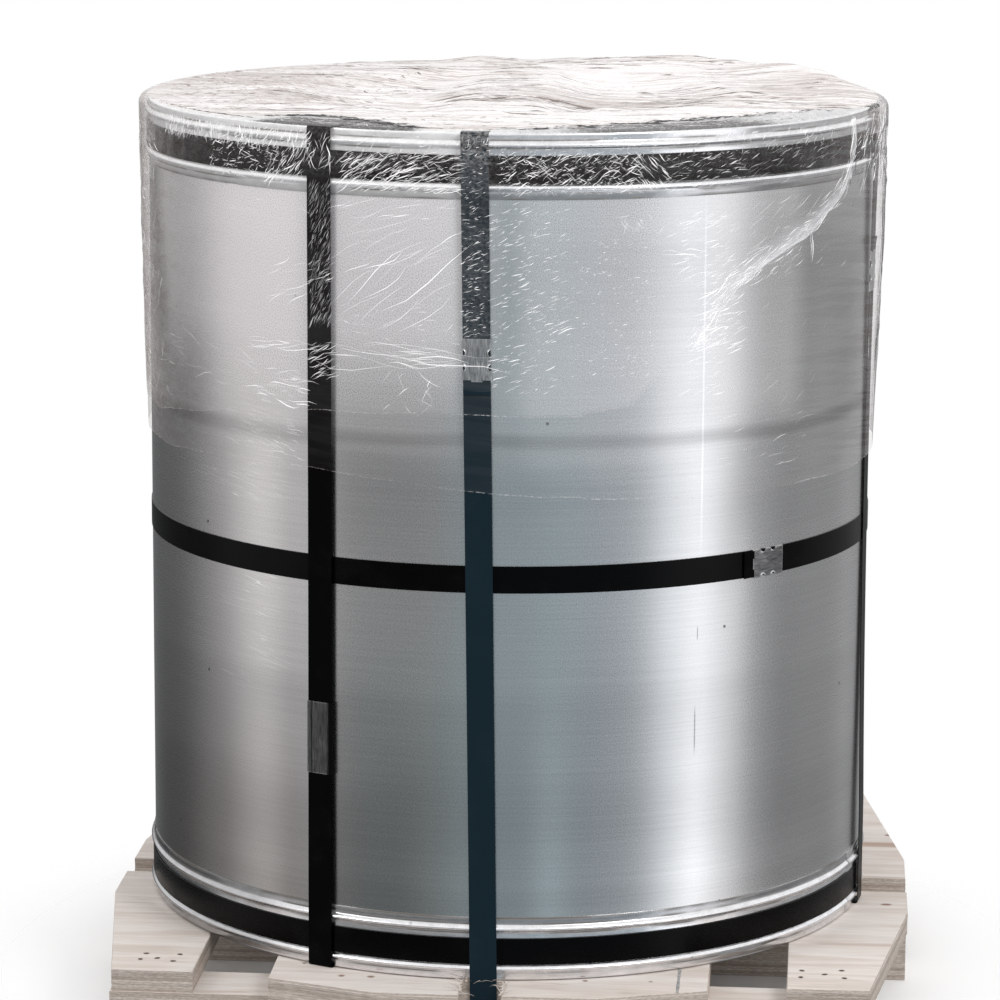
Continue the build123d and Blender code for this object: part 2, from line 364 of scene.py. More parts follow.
def plywood():
    """Weathered plywood: veneer on the faces, sawn plies and glue lines on the edges."""
    t = new_tree("plywood")
    place = t.object_place()
    x, y, z = t.split(place)
    face_grain = t.noise(place, (3.0, 42.0), 2.0, 0.6, 0.6)
    fibre = t.noise(place, (22.0, 420.0), 2.0, 0.65)
    weather = t.noise(place, 6.5, 2.0, 0.6)
    face = veneer(t, x, y, place, face_grain, fibre, weather)
    sheet = t.math("DIVIDE", z + (weather - 0.5) * 0.0016, PLY)
    layer = t.out("TexWhiteNoise", "Value", {"W": t.math("FLOOR", sheet)}, noise_dimensions="1D")
    glue = t.band(t.math("FRACT", sheet), 0.0, 0.05, 0.12)
    edge_place = t.join(x + y * 1.3, z)
    sawn = t.noise(edge_place, (130.0, 700.0), 2.0, 0.7)
    rough_cut = t.noise(edge_place, (14.0, 500.0), 2.0, 0.6)
    ply = t.mix(layer, (0.42, 0.35, 0.295), (0.66, 0.595, 0.54))
    ply = t.mix(t.remap(sawn, 0.42, 0.6, 0.4, 0.0), ply, (0.23, 0.175, 0.14))
    ply = t.mix(t.remap(rough_cut, 0.58, 0.72, 0.0, 0.5), ply, (0.30, 0.25, 0.21))
    ply = t.mix(glue * 0.45, ply, (0.16, 0.10, 0.07))
    on_face = t.remap(upward(t), 0.55, 0.8)
    relief = t.mix(on_face, sawn + layer * 1.2, fibre + face_grain * 0.6)
    return t.paint(base_color=t.mix(on_face, ply, face), metallic=0.0, roughness=t.spread(fibre, 0.62, 0.82),
                   normal=t.bump(relief, 0.0005, 0.55))


def nail_steel():
    t = new_tree("nail_steel")
    rust = t.noise(t.object_place(), 700.0, 2.0, 0.6)
    colour = t.mix(t.remap(rust, 0.4, 0.6), (0.05, 0.035, 0.03), (0.20, 0.13, 0.10))
    return t.paint(base_color=colour, metallic=0.6, roughness=t.remap(rust, 0.3, 0.7, 0.4, 0.7),
                   normal=t.bump(rust, 0.0003, 0.6))


def filler_paste():
    t = new_tree("filler_paste")
    lumps = t.noise(t.object_place(), 260.0, 2.0, 0.6)
    colour = t.mix(t.remap(lumps, 0.35, 0.65), grey(0.20), (0.42, 0.42, 0.41))
    return t.paint(base_color=colour, metallic=0.0, roughness=t.remap(lumps, 0.3, 0.7, 0.6, 0.8),
                   normal=t.bump(lumps, 0.0008, 0.7))


def stretch_film(name, haze, shift):
    """Clear stretch film: almost invisible where it lies flat, white where it is creased; its pale streaks
    are partly painted highlight, its dark lines painted shade, and its colour where seen along a painted
    sheen.
    """
    t = new_tree(name)
    laid = t.out("UVMap", 0)
    across, up, _ = t.split(laid)
    flat = t.vector("ADD", laid, (shift, shift, 0.0))
    white, tone = t.attribute("white"), t.attribute("tone")
    strands = t.noise(t.turned(flat, -7), (3.0, 110.0), 2.0, 0.7, 0.2)
    fine = t.noise(flat, (210.0, 290.0), 2.0, 0.65)
    wide = t.noise(flat, (5.0, 22.0), 2.0, 0.55, 0.4)
    crumple = t.noise(flat, (75.0, 120.0), 2.0, 0.6, 0.6)
    facing = t.out("LayerWeight", "Facing", {"Blend": 0.5})
    on_top = t.remap(up, -3.0, -2.0, 1.0, 0.0)
    right = t.remap(across, 0.66, 0.69)
    left = t.remap(across, -0.40, -0.08, 1.0, 0.0)
    most = right * 0.4 + 0.5 - on_top * 0.44
    grazing = t.math("MULTIPLY", t.math("POWER", facing, 4.0), most, True)
    clear = on_top * t.remap(facing, 0.30, 0.72, 0.62, 0.0)
    woven = t.remap(strands, 0.28, 0.5, 0.7, 1.0) * (1 - clear)
    plain = t.math("SUBTRACT", 1.0, white, True)
    ragged = white * woven + (fine - 0.5) * (white * plain * 9.0)
    solid = grazing + t.spread(wide, haze * 0.6, haze * 1.4)
    solid = t.math("ADD", solid, t.math("MAXIMUM", ragged, 0.0), True)
    # Pale streaks and crumples, partly whitened film and partly painted highlight.
    streaked = t.remap(strands, 0.44, 0.58) * (1 - left)
    crumpled = t.remap(crumple, 0.42, 0.62) * (left * 0.7)
    bright = streaked + crumpled + t.remap(wide, 0.46, 0.62, 0.0, 0.6)
    colour = t.mix(t.math("ADD", bright, tone, True), (0.56, 0.49, 0.465), (0.915, 0.88, 0.872))
    # Painted shade: dark lines along the strands and pits in the crumples.
    lines = t.lines(strands, 0.022) * t.remap(wide - tone, 0.5, 0.75, 0.0, 0.8)
    pits = t.remap(crumple, 0.36, 0.28) * (left * 0.5 + 0.2)
    colour = t.mix(t.math("ADD", lines, pits, True), colour, (0.27, 0.215, 0.205))
    # Painted sheen: seen along, the film's colour turns grey-beige, darker at the right.
    edge = t.mix(right, (0.68, 0.615, 0.59), (0.40, 0.385, 0.38))
    colour = t.mix(t.math("MULTIPLY", grazing * plain, 1.6, True), colour, edge)
    return t.paint(base_color=colour, metallic=0.0, roughness=t.spread(strands, 0.16, 0.34), ior=1.48,
                   specular_ior_level=0.14, alpha=solid)


def crease_film(name, colour, worn, painted_glow):
    """A sharp crease in the film: a white one is partly whitened film and partly a painted glint that glows
    a little; a dark one is painted shade.
    """
    t = new_tree(name)
    uneven = t.noise(t.object_place(), 90.0, 1.0, 0.5, solid=True)
    return t.paint(base_color=t.mix(uneven, colour, worn), metallic=0.0, roughness=0.25,
                   alpha=t.attribute("white"), emission_color=(1.0, 0.98, 0.975), emission_strength=painted_glow)


# Meshes

def grid_faces(rows, columns, close_rows=False, close_columns=False):
    """Quads of a grid of points kept row after row."""
    row_count = rows if close_rows else rows - 1
    column_count = columns if close_columns else columns - 1
    i = np.repeat(np.arange(row_count), column_count)
    j = np.tile(np.arange(column_count), row_count)
    i2, j2 = (i + 1) % rows, (j + 1) % columns
    return np.stack([i * columns + j, i * columns + j2, i2 * columns + j2, i2 * columns + j], 1).tolist()


def tube_faces(rows, columns):
    """Quads of a grid closed over its rows, with a cap at both ends."""
    first = [row * columns for row in range(rows)]
    last = [row * columns + columns - 1 for row in range(rows)]
    return grid_faces(rows, columns, close_rows=True) + [first, last[::-1]]


def face_outward(mesh):
    shape = bmesh.new()
    shape.from_mesh(mesh)
    bmesh.ops.recalc_face_normals(shape, faces=shape.faces)
    shape.to_mesh(mesh)
    shape.free()


def new_piece(name, points, faces, material, replaced=(), sharp=None, uv=None, corner_uv=None,
              attributes=None):
    """A mesh piece that rides on the coil's one body."""
    mesh = bpy.data.meshes.new(name)
    mesh.from_pydata(np.asarray(points).reshape(-1, 3).tolist(), [], faces)
    if corner_uv is None:
        face_outward(mesh)
    mesh.shade_smooth()
    if sharp is not None:
        mesh.set_sharp_from_angle(angle=math.radians(sharp))
    if uv is not None:
        corners = np.empty(len(mesh.loops), np.int32)
        mesh.loops.foreach_get("vertex_index", corners)
        corner_uv = [np.asarray(uv, np.float32).reshape(-1, 2)[corners]]
    if corner_uv is not None:
        flat = np.concatenate([np.ravel(part) for part in corner_uv]).astype(np.float32)
        mesh.uv_layers.new(name="flat").data.foreach_set("uv", flat)
    for attribute, values in (attributes or {}).items():
        layer = mesh.attributes.new(attribute, "FLOAT", "POINT")
        layer.data.foreach_set("value", np.asarray(values, np.float32).ravel())
    mesh.materials.append(material)
    piece = bpy.data.objects.new(name, mesh)
    bpy.context.scene.collection.objects.link(piece)
    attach(piece, "root")
    if replaced:
        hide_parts(*replaced)
    return piece


def gradient_noise(x, y, seed, period=None):
    """Smooth noise from about -1 to 1; with a whole period it closes on itself along x."""
    angles = np.random.default_rng(seed).uniform(0, 2 * np.pi, (256, 256))
    x, y = np.broadcast_arrays(np.asarray(x, float), np.asarray(y, float))
    x0, y0 = np.floor(x).astype(int), np.floor(y).astype(int)
    fx, fy = x - x0, y - y0

    def corner(i, j):
        column = (x0 + i) % period if period else x0 + i
        angle = angles[column % 256, (y0 + j) % 256]
        return np.cos(angle) * (fx - i) + np.sin(angle) * (fy - j)

    sx, sy = (f ** 3 * (f * (f * 6 - 15) + 10) for f in (fx, fy))
    low = corner(0, 0) * (1 - sx) + corner(1, 0) * sx
    high = corner(0, 1) * (1 - sx) + corner(1, 1) * sx
    return 1.45 * (low * (1 - sy) + high * sy)


def ridges(x, y, seed, period=None):
    """Noise folded into sharp crests, from 0 to 1."""
    return 1 - np.minimum(1, 2.2 * np.abs(gradient_noise(x, y, seed, period)))


def smooth_step(value, low, high):
    share = np.clip((value - low) / (high - low), 0, 1)
    return share * share * (3 - 2 * share)


def bell(value, middle, width):
    return np.exp(-((value - middle) / width) ** 2)


def bells(rows, x, y):
    """Sum of soft bumps: the middle and the reach along both axes, and the height of each."""
    return sum(high * bell(x, u, wide) * bell(y, v, deep) for u, v, wide, deep, high in rows)


def plateau(value, low, high, soft):
    """1 between low and high, falling to 0 over soft on both sides."""
    return smooth_step(value, low - soft, low) * smooth_step(value, high + soft, high)


def around(azimuth, radius, height):
    """Points at an azimuth in degrees, 0 at the front, on the coil's axis."""
    angle = np.radians(azimuth)
    x = AXIS_X + radius * np.sin(angle)
    y = -radius * np.cos(angle)
    return np.stack(np.broadcast_arrays(x, y, height), -1)


# Coil

COIL_COLUMNS = 360
SIDE_HEIGHTS = np.concatenate([np.linspace(COIL_BOTTOM, 0.66, 42)[:-1], np.linspace(0.66, 0.83, 40)[:-1],
                               np.linspace(0.83, COIL_TOP, 26)])
TURN_ROWS, BORE_ROWS = 48, 9
TURN_DROP = 0.9 * MM
# Dents in the strip: azimuth, height, reach in degrees and metres, and depth in mm.
COIL_DENTS = ((49.0, 0.585, 5.0, 0.030, 0.35), (40.0, 0.60, 3.0, 0.05, 0.25), (33.6, 0.43, 0.5, 0.02, 0.5),
              (-50.0, 0.55, 8.0, 0.12, 0.25), (120.0, 0.6, 9.0, 0.1, 0.3), (200.0, 0.45, 8.0, 0.12, 0.3))


def coil_dent(azimuth, height):
    """How far the strip's outer turn stands out from a true circle."""
    waves = 0.06 * MM * gradient_noise(azimuth / 12, height * 4, 3, 30)
    return waves - MM * bells(COIL_DENTS, azimuth, height)


def coil_end(azimuth, level, sign):
    """Rings of turns seen edge on, each a little higher or lower than the next."""
    rng = np.random.default_rng(11 if sign > 0 else 12)
    radii = np.linspace(COIL_R, BORE_R, TURN_ROWS)
    drop = np.repeat(rng.uniform(0.15, 1.0, TURN_ROWS // 2), 2) * TURN_DROP
    drop[0] = drop[-1] = 0
    return [around(azimuth, radius, level - sign * fall) for radius, fall in zip(radii, drop)]


# How much painted milky light the film's outer layer puts on the strip at the left, by height.
VEIL_LIGHT_HEIGHTS, VEIL_LIGHT_LEVELS = (0.78, 0.82, 0.885, 1.0, 1.05), (0.05, 0.15, 0.42, 0.50, 0.52)


def film_veil_light(azimuth, height):
    """How much painted milky light the clinging film puts on the strip: most at the upper left."""
    inner = smooth_step(height - hem_line(INNER_HEM, azimuth, INNER_SEED), 8 * MM, 60 * MM)
    outer = smooth_step(height - hem_line(OUTER_HEM, azimuth, OUTER_SEED), -3 * MM, 3 * MM)
    veil_light = 0.17 * inner * plateau(azimuth, -42, 26, 14) * (1 - 0.5 * bell(azimuth, 4, 3))
    left = plateau(azimuth, -60 - 4 * smooth_step(height, 0.85, 1.02), -4, 8)
    veil_light = veil_light + outer * left * np.interp(height, VEIL_LIGHT_HEIGHTS, VEIL_LIGHT_LEVELS)
    veil_light = veil_light + 0.14 * outer * plateau(azimuth, 8, 24, 6)
    return veil_light + 0.24 * plateau(azimuth, 40, 50, 7) * smooth_step(height, 0.74, 0.80)


# Upright bands of painted reflection on the bare strip: azimuth, width and how much lighter or darker.
UPRIGHT_REFLECTIONS = ((-53, 5, 0.09), (-45, 4, -0.13), (-36.5, 3.2, 0.10), (-30.5, 2.6, -0.10), (6, 4, -0.06),
                 (34, 2.6, 0.09), (40.5, 2.6, -0.06), (47, 3.4, 0.12), (62, 5, -0.06), (71, 4, 0.12))


def strip_painted_reflections(azimuth, height):
    """Painted reflections on the strip: darker at the lower left, where it mirrors the floor, with lighter
    and darker upright bands where it mirrors lamps and walls.
    """
    low = smooth_step(height, 0.58, 0.16)
    shade = 1 - 0.36 * low * plateau(azimuth, -64, -14, 12)
    shade = shade + 0.30 * low * bell(azimuth, 10.5, 3.0) + 0.24 * low * bell(azimuth, 33.5, 4.5)
    shade = shade + 0.22 * smooth_step(height, 0.68, 0.52) * bell(azimuth, 42, 4)
    bare = smooth_step(height, 0.80, 0.70)
    for middle, width, lift in UPRIGHT_REFLECTIONS:
        shade = shade + lift * bare * bell(azimuth, middle, width)
    above = smooth_step(height, 0.66, 0.74) * smooth_step(height, 0.98, 0.88)
    return shade - 0.20 * above * bell(azimuth, 69, 7)


def strip_reflected_tint(azimuth, height):
    """Painted reflected tint: warm at the left, cool on both sides of the tie-down."""
    warm = plateau(azimuth, -66, -32, 8) * (0.25 + 0.4 * smooth_step(height, 0.45, 0.2))
    low_left = plateau(azimuth, -16, -4, 6) * smooth_step(height, 0.6, 0.4)
    cool = 0.30 * plateau(azimuth, -1, 11, 8) + 0.3 * low_left
    return warm - np.minimum(cool, 0.4)


def make_coil(material):
    azimuth = np.linspace(-180, 180, COIL_COLUMNS, endpoint=False)
    rows = coil_end(azimuth, COIL_BOTTOM, -1)[::-1]
    for height in SIDE_HEIGHTS:
        rows.append(around(azimuth, COIL_R + coil_dent(azimuth, height), height))
    rows += coil_end(azimuth, COIL_TOP, 1)
    rows += [around(azimuth, BORE_R, height) for height in np.linspace(COIL_TOP, COIL_BOTTOM, BORE_ROWS)]
    points = np.array(rows)
    faces = grid_faces(len(rows), COIL_COLUMNS, close_columns=True)
    weights = {}
    # Painted light per point on the side: milky film light, reflections and their tint.
    for name, looks, elsewhere in (("veil_light", film_veil_light, 0.0), ("shade", strip_painted_reflections, 1.0),
                                   ("tint", strip_reflected_tint, 0.0)):
        weights[name] = np.full(points.shape[:2], elsewhere)
        side = looks(azimuth[None, :], SIDE_HEIGHTS[:, None])
        weights[name][TURN_ROWS:TURN_ROWS + len(SIDE_HEIGHTS)] = side
    new_piece("coil_turns", points, faces, material, ["steel_coil"], sharp=35,
              attributes=weights)


# Edge protectors

RING_COLUMNS = 320
RING_IN, RING_OUT = 380 * MM, 451.2 * MM
RING_SHEET = 1 * MM
RING_CORNER = 2.2 * MM
RING_SKIRT = 76 * MM
BEAD_RISE, BEAD_HALF = 4 * MM, 4.6 * MM
BEAD_DEPTHS = (14 * MM, 63 * MM)
LIP_DEPTH = BEAD_DEPTHS[1] + BEAD_HALF
# The lapped ends: length, rise, how far each column rises, how much darker it is, and where the profile
# starts.
LAP_SPAN, LAP_RISE = 36 * MM, 1.1 * MM
LAP_LIFTS = np.array([0.35, 0.9, 1, 1, 1, 1, 1, 0.9, 0.35])
LAP_DARK = np.array([1, 0.5, 0.1, 0, 0, 0, 0.1, 0.5, 1])
LAP_START = 5
FLANGE_SHARES = (0, 0.02, 0.3, 0.6, 0.9, 1)


def ring_profile():
    """Outer line of the sheet from the flange's inner edge to the skirt's lip: radius, drop and darkening
    beside the beads and at the lip.
    """
    flange = RING_OUT - RING_CORNER - RING_IN
    line = [(RING_IN + share * flange, 0.0) for share in FLANGE_SHARES]
    for angle in np.radians((22.5, 45, 67.5, 90)):
        line.append((RING_OUT - RING_CORNER * (1 - np.sin(angle)), RING_CORNER * (1 - np.cos(angle))))
    drops = set(np.linspace(4 * MM, RING_SKIRT, 20))
    for depth in BEAD_DEPTHS:
        drops |= set(depth + BEAD_HALF * 1.5 * np.linspace(-1, 1, 17))
    for drop in sorted(d for d in drops if RING_CORNER + 1 * MM < d <= RING_SKIRT):
        rise = sum(BEAD_RISE * np.cos(np.pi / 2 * np.clip((drop - depth) / BEAD_HALF, -1, 1)) ** 1.3
                   for depth in BEAD_DEPTHS)
        line.append((RING_OUT + rise, drop))
    line.append((RING_OUT - 0.3 * MM, RING_SKIRT + 0.6 * MM))
    line = np.array(line)
    crevice_dark = sum(bell(line[:, 1], depth + side * (BEAD_HALF + 1 * MM), 1.3 * MM)
               for depth in BEAD_DEPTHS for side in (-1, 1))
    crevice_dark = np.clip(crevice_dark + bell(line[:, 1], RING_SKIRT, 1.2 * MM), 0, 1)
    return line, crevice_dark


# Painted milky light on the top ring under the film: a little all round, and a painted highlight at the
# left.
def ring_veil_light(azimuth):
    return 0.08 + 0.72 * plateau(azimuth, -70, -6, 8)


def rim_dark_reflection(azimuth):
    """How strongly the flange is painted with a dark reflection under the clear film at the rim: most at the
    front left strap.
    """
    return np.clip(plateau(azimuth, -36, -12, 5) + 0.5 * plateau(azimuth, 18, 44, 9)
                   + 0.35 * plateau(azimuth, -60, -42, 6) + 0.45 * plateau(azimuth, 6, 66, 6), 0, 1)


def ring_shade(azimuth, drop, left):
    """Painted shade below the lower bead, and a painted dark reflection towards the left where the studio is
    dark.
    """
    lip = 1 - 0.42 * smooth_step(drop, LIP_DEPTH + 0.5 * MM, LIP_DEPTH + 3 * MM)
    return lip * (1 - left * plateau(azimuth, -80, -40, 12))


def make_ring(name, level, sign, seed, lap_azimuth, material, replaced, shade=0.0):
    """One edge protector: a flanged ring with two rolled beads, its ends lapped at one place."""
    line, crevice_dark = ring_profile()
    azimuth = np.linspace(-180, 180, RING_COLUMNS, endpoint=False)
    inner = np.stack([line[::-1, 0] - RING_SHEET, line[::-1, 1] + 0.2 * MM], 1)
    loop = np.concatenate([line, inner])
    wave = 0.25 * MM * gradient_noise(azimuth / 10, loop[:, 1:2] * 30, seed, 36)
    wave = wave * smooth_step(loop[:, 1:2], 5 * MM, RING_SKIRT)
    nicks = gradient_noise(azimuth / 4, 0.5, seed + 1, 90)[None, :]
    wave = wave - 1.2 * MM * smooth_step(nicks, 0.62, 0.8) * bell(loop[:, 1:2], RING_SKIRT, 6 * MM)
    points = around(azimuth[None, :], loop[:, :1] + wave, level - sign * loop[:, 1:2])
    faces = grid_faces(len(loop), RING_COLUMNS, close_rows=True, close_columns=True)
    crevice_dark_map = np.repeat(np.concatenate([crevice_dark, crevice_dark[::-1]])[:, None], RING_COLUMNS, 1)
    # With shade, the top ring's flange gets a painted dark reflection and the ring painted milky light under
    # the film; the bottom ring instead gets a painted dark reflection towards the left.
    rim = shade * (loop[:, 1:2] < 0.5 * MM) * rim_dark_reflection(azimuth)[None, :]
    tone = ring_shade(azimuth[None, :], loop[:, 1:2], 0.0 if shade else 0.42)
    new_piece(name, points, faces, material, [replaced], sharp=50,
              attributes={"crevice_dark": crevice_dark_map, "veil_light": 0 * crevice_dark_map + shade * ring_veil_light(azimuth)[None, :],
                          "shade": tone, "rim": rim})
    lap_ring(name + "_lap", level, sign, lap_azimuth, line, crevice_dark, material)


def lap_ring(name, level, sign, lap_azimuth, line, crevice_dark, material):
    """The ring's lapped end: a short length of the same profile lying on the first."""
    half = math.degrees(LAP_SPAN / 2 / RING_OUT)
    azimuth = (lap_azimuth + np.linspace(-half, half, len(LAP_LIFTS)))[None, :]
    outer = line[LAP_START:]
    lift = LAP_RISE * LAP_LIFTS[None, :] * np.minimum(1, np.linspace(0.6, 3, len(outer)))[:, None]
    over = around(azimuth, outer[:, :1] + lift, level - sign * outer[:, 1:2])
    under = around(azimuth, outer[::-1, :1] - 0.1 * MM, level - sign * outer[::-1, 1:2])
    points = np.concatenate([over, under])
    faces = tube_faces(len(points), len(LAP_LIFTS))
    crevice_dark_map = np.concatenate([crevice_dark[LAP_START:], crevice_dark[:LAP_START - 1:-1]])[:, None] * 0.6
    crevice_dark_map = crevice_dark_map + 0.7 * LAP_DARK[None, :]
    new_piece(name, points, faces, material, sharp=40,
              attributes={"crevice_dark": np.clip(crevice_dark_map, 0, 1), "shade": 0 * crevice_dark_map + 0.9})


# Boards

OUTLINE_STEP = 9 * MM
PLIES = 9


def board_outline(corners):
    """Points along a board's outline, with its corners kept."""
    points = []
    for start, end in zip(corners, corners[1:] + corners[:1]):
        start, end = np.array(start), np.array(end)
        count = max(1, round(np.linalg.norm(end - start) / OUTLINE_STEP))
        points += [start + (end - start) * i / count for i in range(count)]
    return np.array(points)


def inward(points):
    """Unit vectors that point into an outline that runs anticlockwise."""
    along = np.roll(points, -1, 0) - np.roll(points, 1, 0)
    along /= np.linalg.norm(along, axis=1, keepdims=True)
    return np.stack([-along[:, 1], along[:, 0]], 1)


def make_board(name, corners, low, high, seed, material):
    """A plywood board whose edge shows its plies, with worn corners and a few chips."""
    outline = board_outline(corners)
    into = inward(outline)
    rng = np.random.default_rng(seed)
    place = np.arange(len(outline))
    chips = smooth_step(gradient_noise(place / 3.0, 0.3, seed + 5), 0.45, 0.9)
    rows = []

    def row(height, inset):
        rows.append(np.column_stack([outline + into * inset[:, None], np.full(len(outline), height)]))

    row(low, np.full(len(outline), 1.0 * MM))
    for ply in range(PLIES):
        base = rng.uniform(0.0, 0.7) * MM
        ragged = base + 0.35 * MM * np.abs(gradient_noise(place / 2.0, ply * 1.7, seed + ply))
        bottom = low + (high - low) * (ply + 0.06) / PLIES
        top = low + (high - low) * (ply + 0.94) / PLIES
        worn = 1.8 * MM * chips if ply >= PLIES - 2 else 0.0
        row(bottom, ragged + worn * 0.5)
        row(top, ragged + worn)
    rows[-1][:, 2] = high - 0.9 * MM
    row(high, 1.1 * MM + 2.2 * MM * chips)
    points = np.concatenate(rows)
    count = len(outline)
    faces = grid_faces(len(rows), count, close_columns=True)
    faces.append(list(range(count))[::-1])
    faces.append(list(range(len(points) - count, len(points))))
    new_piece(name, points, faces, material, [name.removesuffix("_ply")], sharp=38)


# Outlines of the centre and the right board at the back; the others are their mirror images.
NOTCH_LEFT, NOTCH_RIGHT, NOTCH_BACK, NOTCH_FRONT = -0.030, 0.020, 0.4524, 0.508
CENTRE_CORNERS = [(-0.260, 0.030), (-0.260, 0.466), (-0.130, 0.510), (NOTCH_LEFT, 0.510),
                  (NOTCH_LEFT, NOTCH_BACK), (NOTCH_RIGHT, NOTCH_BACK), (NOTCH_RIGHT, 0.510), (0.130, 0.510),
                  (0.260, 0.466), (0.260, 0.030)]
SIDE_CORNERS = [(0.352, 0.030), (0.500, 0.030), (0.500, 0.122), (0.450, 0.448), (0.352, 0.448)]


def anticlockwise(corners):
    twice_area = sum(a[0] * b[1] - b[0] * a[1] for a, b in zip(corners, corners[1:] + corners[:1]))
    return corners if twice_area > 0 else corners[::-1]


# Places of the nails at the front, and a nail's rings from its head out to the torn wood: radius, rise.
NAILS = ((-0.418, -0.3825), (-0.377, -0.3826), (-0.4214, -0.4059), (-0.4019, -0.4003), (-0.3812, -0.4099),
         (0.3696, -0.3753), (0.3684, -0.4017), (0.3967, -0.3879), (0.4169, -0.371), (0.4201, -0.4007))
NAIL_RINGS = ((1.7, 0.10), (2.1, -0.35), (2.3, 0.40), (2.8, 0.47), (3.2, 0.35))
NAIL_SIDES = 18


def make_nail(name, x, y, level, turn, material):
    """A nail head driven just under the board's face, in its torn hole."""
    angle = np.linspace(0, 2 * np.pi, NAIL_SIDES, endpoint=False) + turn
    uneven = MM * (1 + 0.12 * np.sin(2 * angle + turn) + 0.06 * np.sin(5 * angle))
    rows = [np.stack([x + radius * uneven * np.cos(angle), y + radius * uneven * np.sin(angle),
                      np.full(NAIL_SIDES, level + rise * MM)], 1) for radius, rise in NAIL_RINGS]
    faces = grid_faces(len(rows), NAIL_SIDES, close_columns=True)
    faces.append(list(range(NAIL_SIDES))[::-1])
    new_piece(name, np.concatenate(rows), faces, material, sharp=40)


# Upright straps

STRAP_OUT, STRAP_IN = 455.9 * MM, 303.9 * MM
STRAP_TOP, STRAP_LOW, TIE_LOW = 1115.5 * MM, 112.5 * MM, 84.5 * MM
STRAP_SHEET = 1 * MM
STRAP_BEND = 3.2 * MM
LOOP_STEP = 25 * MM
FRONT_LEFT, RIGHT, BACK_LEFT = -25.0, 81.0, 210.0
TIE_LEAN_TOP, TIE_LEAN_LOW = -9.6 * MM, 6.4 * MM
LEFT_BOW, RIGHT_BOW, TIE_BOW = 1.0 * MM, 4.0 * MM, 0.5 * MM


def rounded_loop(corners, bend):
    """Points of a closed path with rounded corners, close enough together to take a lean or a bow."""
    path = []
    count = len(corners)
    for index, corner in enumerate(corners):
        corner = np.array(corner)
        before = np.array(corners[index - 1]) - corner
        after = np.array(corners[(index + 1) % count]) - corner
        start = corner + before / np.linalg.norm(before) * bend
        end = corner + after / np.linalg.norm(after) * bend
        for share in np.linspace(0, 1, 7):
            path.append((1 - share) ** 2 * start + 2 * share * (1 - share) * corner + share ** 2 * end)
        length = np.linalg.norm(after) - 2 * bend
        runs = max(1, int(length / LOOP_STEP))
        path += [end + after / np.linalg.norm(after) * length * i / runs for i in range(1, runs)]
    return np.array(path)


def tie_lean(radius, height):
    """How far the tie-down stands aside: it leans at the front, less at the back."""
    share = (height - TIE_LOW) / (STRAP_TOP - TIE_LOW)
    front = TIE_LEAN_LOW + share * (TIE_LEAN_TOP - TIE_LEAN_LOW)
    return front * (0.7 + 0.3 * radius / STRAP_OUT)


def no_lean(radius, height):
    return 0.0 * radius


def sideways_at(azimuth):
    """Unit vector along the coil's side at an azimuth."""
    return np.array([np.cos(np.radians(azimuth)), np.sin(np.radians(azimuth)), 0])


def run_bow(height, depth):
    """How far an upright run lies in towards the coil between the two rings."""
    return depth * np.clip(1 - ((height - 0.64) / 0.40) ** 2, 0, 1)


def make_loop(name, node, azimuth, near, low, lean, bow, material):
    """A strap that runs round in an upright plane, with rounded edges."""
    corners = [(STRAP_OUT, low), (STRAP_OUT, STRAP_TOP), (near, STRAP_TOP), (near, low)]
    path = rounded_loop(corners, STRAP_BEND)
    along = np.roll(path, -1, 0) - np.roll(path, 1, 0)
    along /= np.linalg.norm(along, axis=1, keepdims=True)
    outward = np.stack([along[:, 1], -along[:, 0]], 1)
    path[:, 0] -= np.where(path[:, 0] > STRAP_OUT - 1 * MM, run_bow(path[:, 1], bow), 0)
    half, thick, soft = STRAP_WIDTH / 2, STRAP_SHEET / 2, 0.3 * MM
    section = [(-half + soft, thick), (half - soft, thick), (half, thick - soft), (half, soft - thick),
               (half - soft, -thick), (soft - half, -thick), (-half, soft - thick), (-half, thick - soft)]
    side = sideways_at(azimuth)
    rows = []
    for across, rise in section:
        place = path + outward * rise
        points = around(azimuth, place[:, 0], place[:, 1])
        rows.append(points + side * (across + lean(path[:, 0], path[:, 1]))[:, None])
    faces = grid_faces(len(section), len(path), close_rows=True, close_columns=True)
    new_piece(name, np.array(rows), faces, material, [node], sharp=30)


# Seals

SEAL_HALF, SEAL_RISE = 17.05 * MM, 1.05 * MM
SEAL_SHEET = 0.9 * MM
SEAL_FOOT = -1 * MM
BITE_HALF, BITE_DEPTH = 4.2 * MM, 3.8 * MM
SEAL_GRID = 1 * MM
TAIL_STATIONS, TAIL_IN, TAIL_OUT = 8, 2 * MM, 15 * MM


def seal_section():
    """The seal's sheet across the strap, outside and then back inside: place and rise over the strap."""
    half, rise, sheet = SEAL_HALF, SEAL_RISE, SEAL_SHEET
    outer = [(-half, SEAL_FOOT), (-half, -0.4 * MM), (-half, rise - 0.6 * MM),
             (-half + 0.2 * MM, rise - 0.2 * MM)]
    flat = [(across, rise) for across in np.linspace(-half + 0.6 * MM, half - 0.6 * MM, 29)]
    outer = outer + flat + [(-across, up) for across, up in outer[::-1]]
    inner = [(half - sheet, SEAL_FOOT), (half - sheet, rise - sheet), (sheet - half, rise - sheet),
             (sheet - half, SEAL_FOOT)]
    return np.array(outer + inner), len(outer)


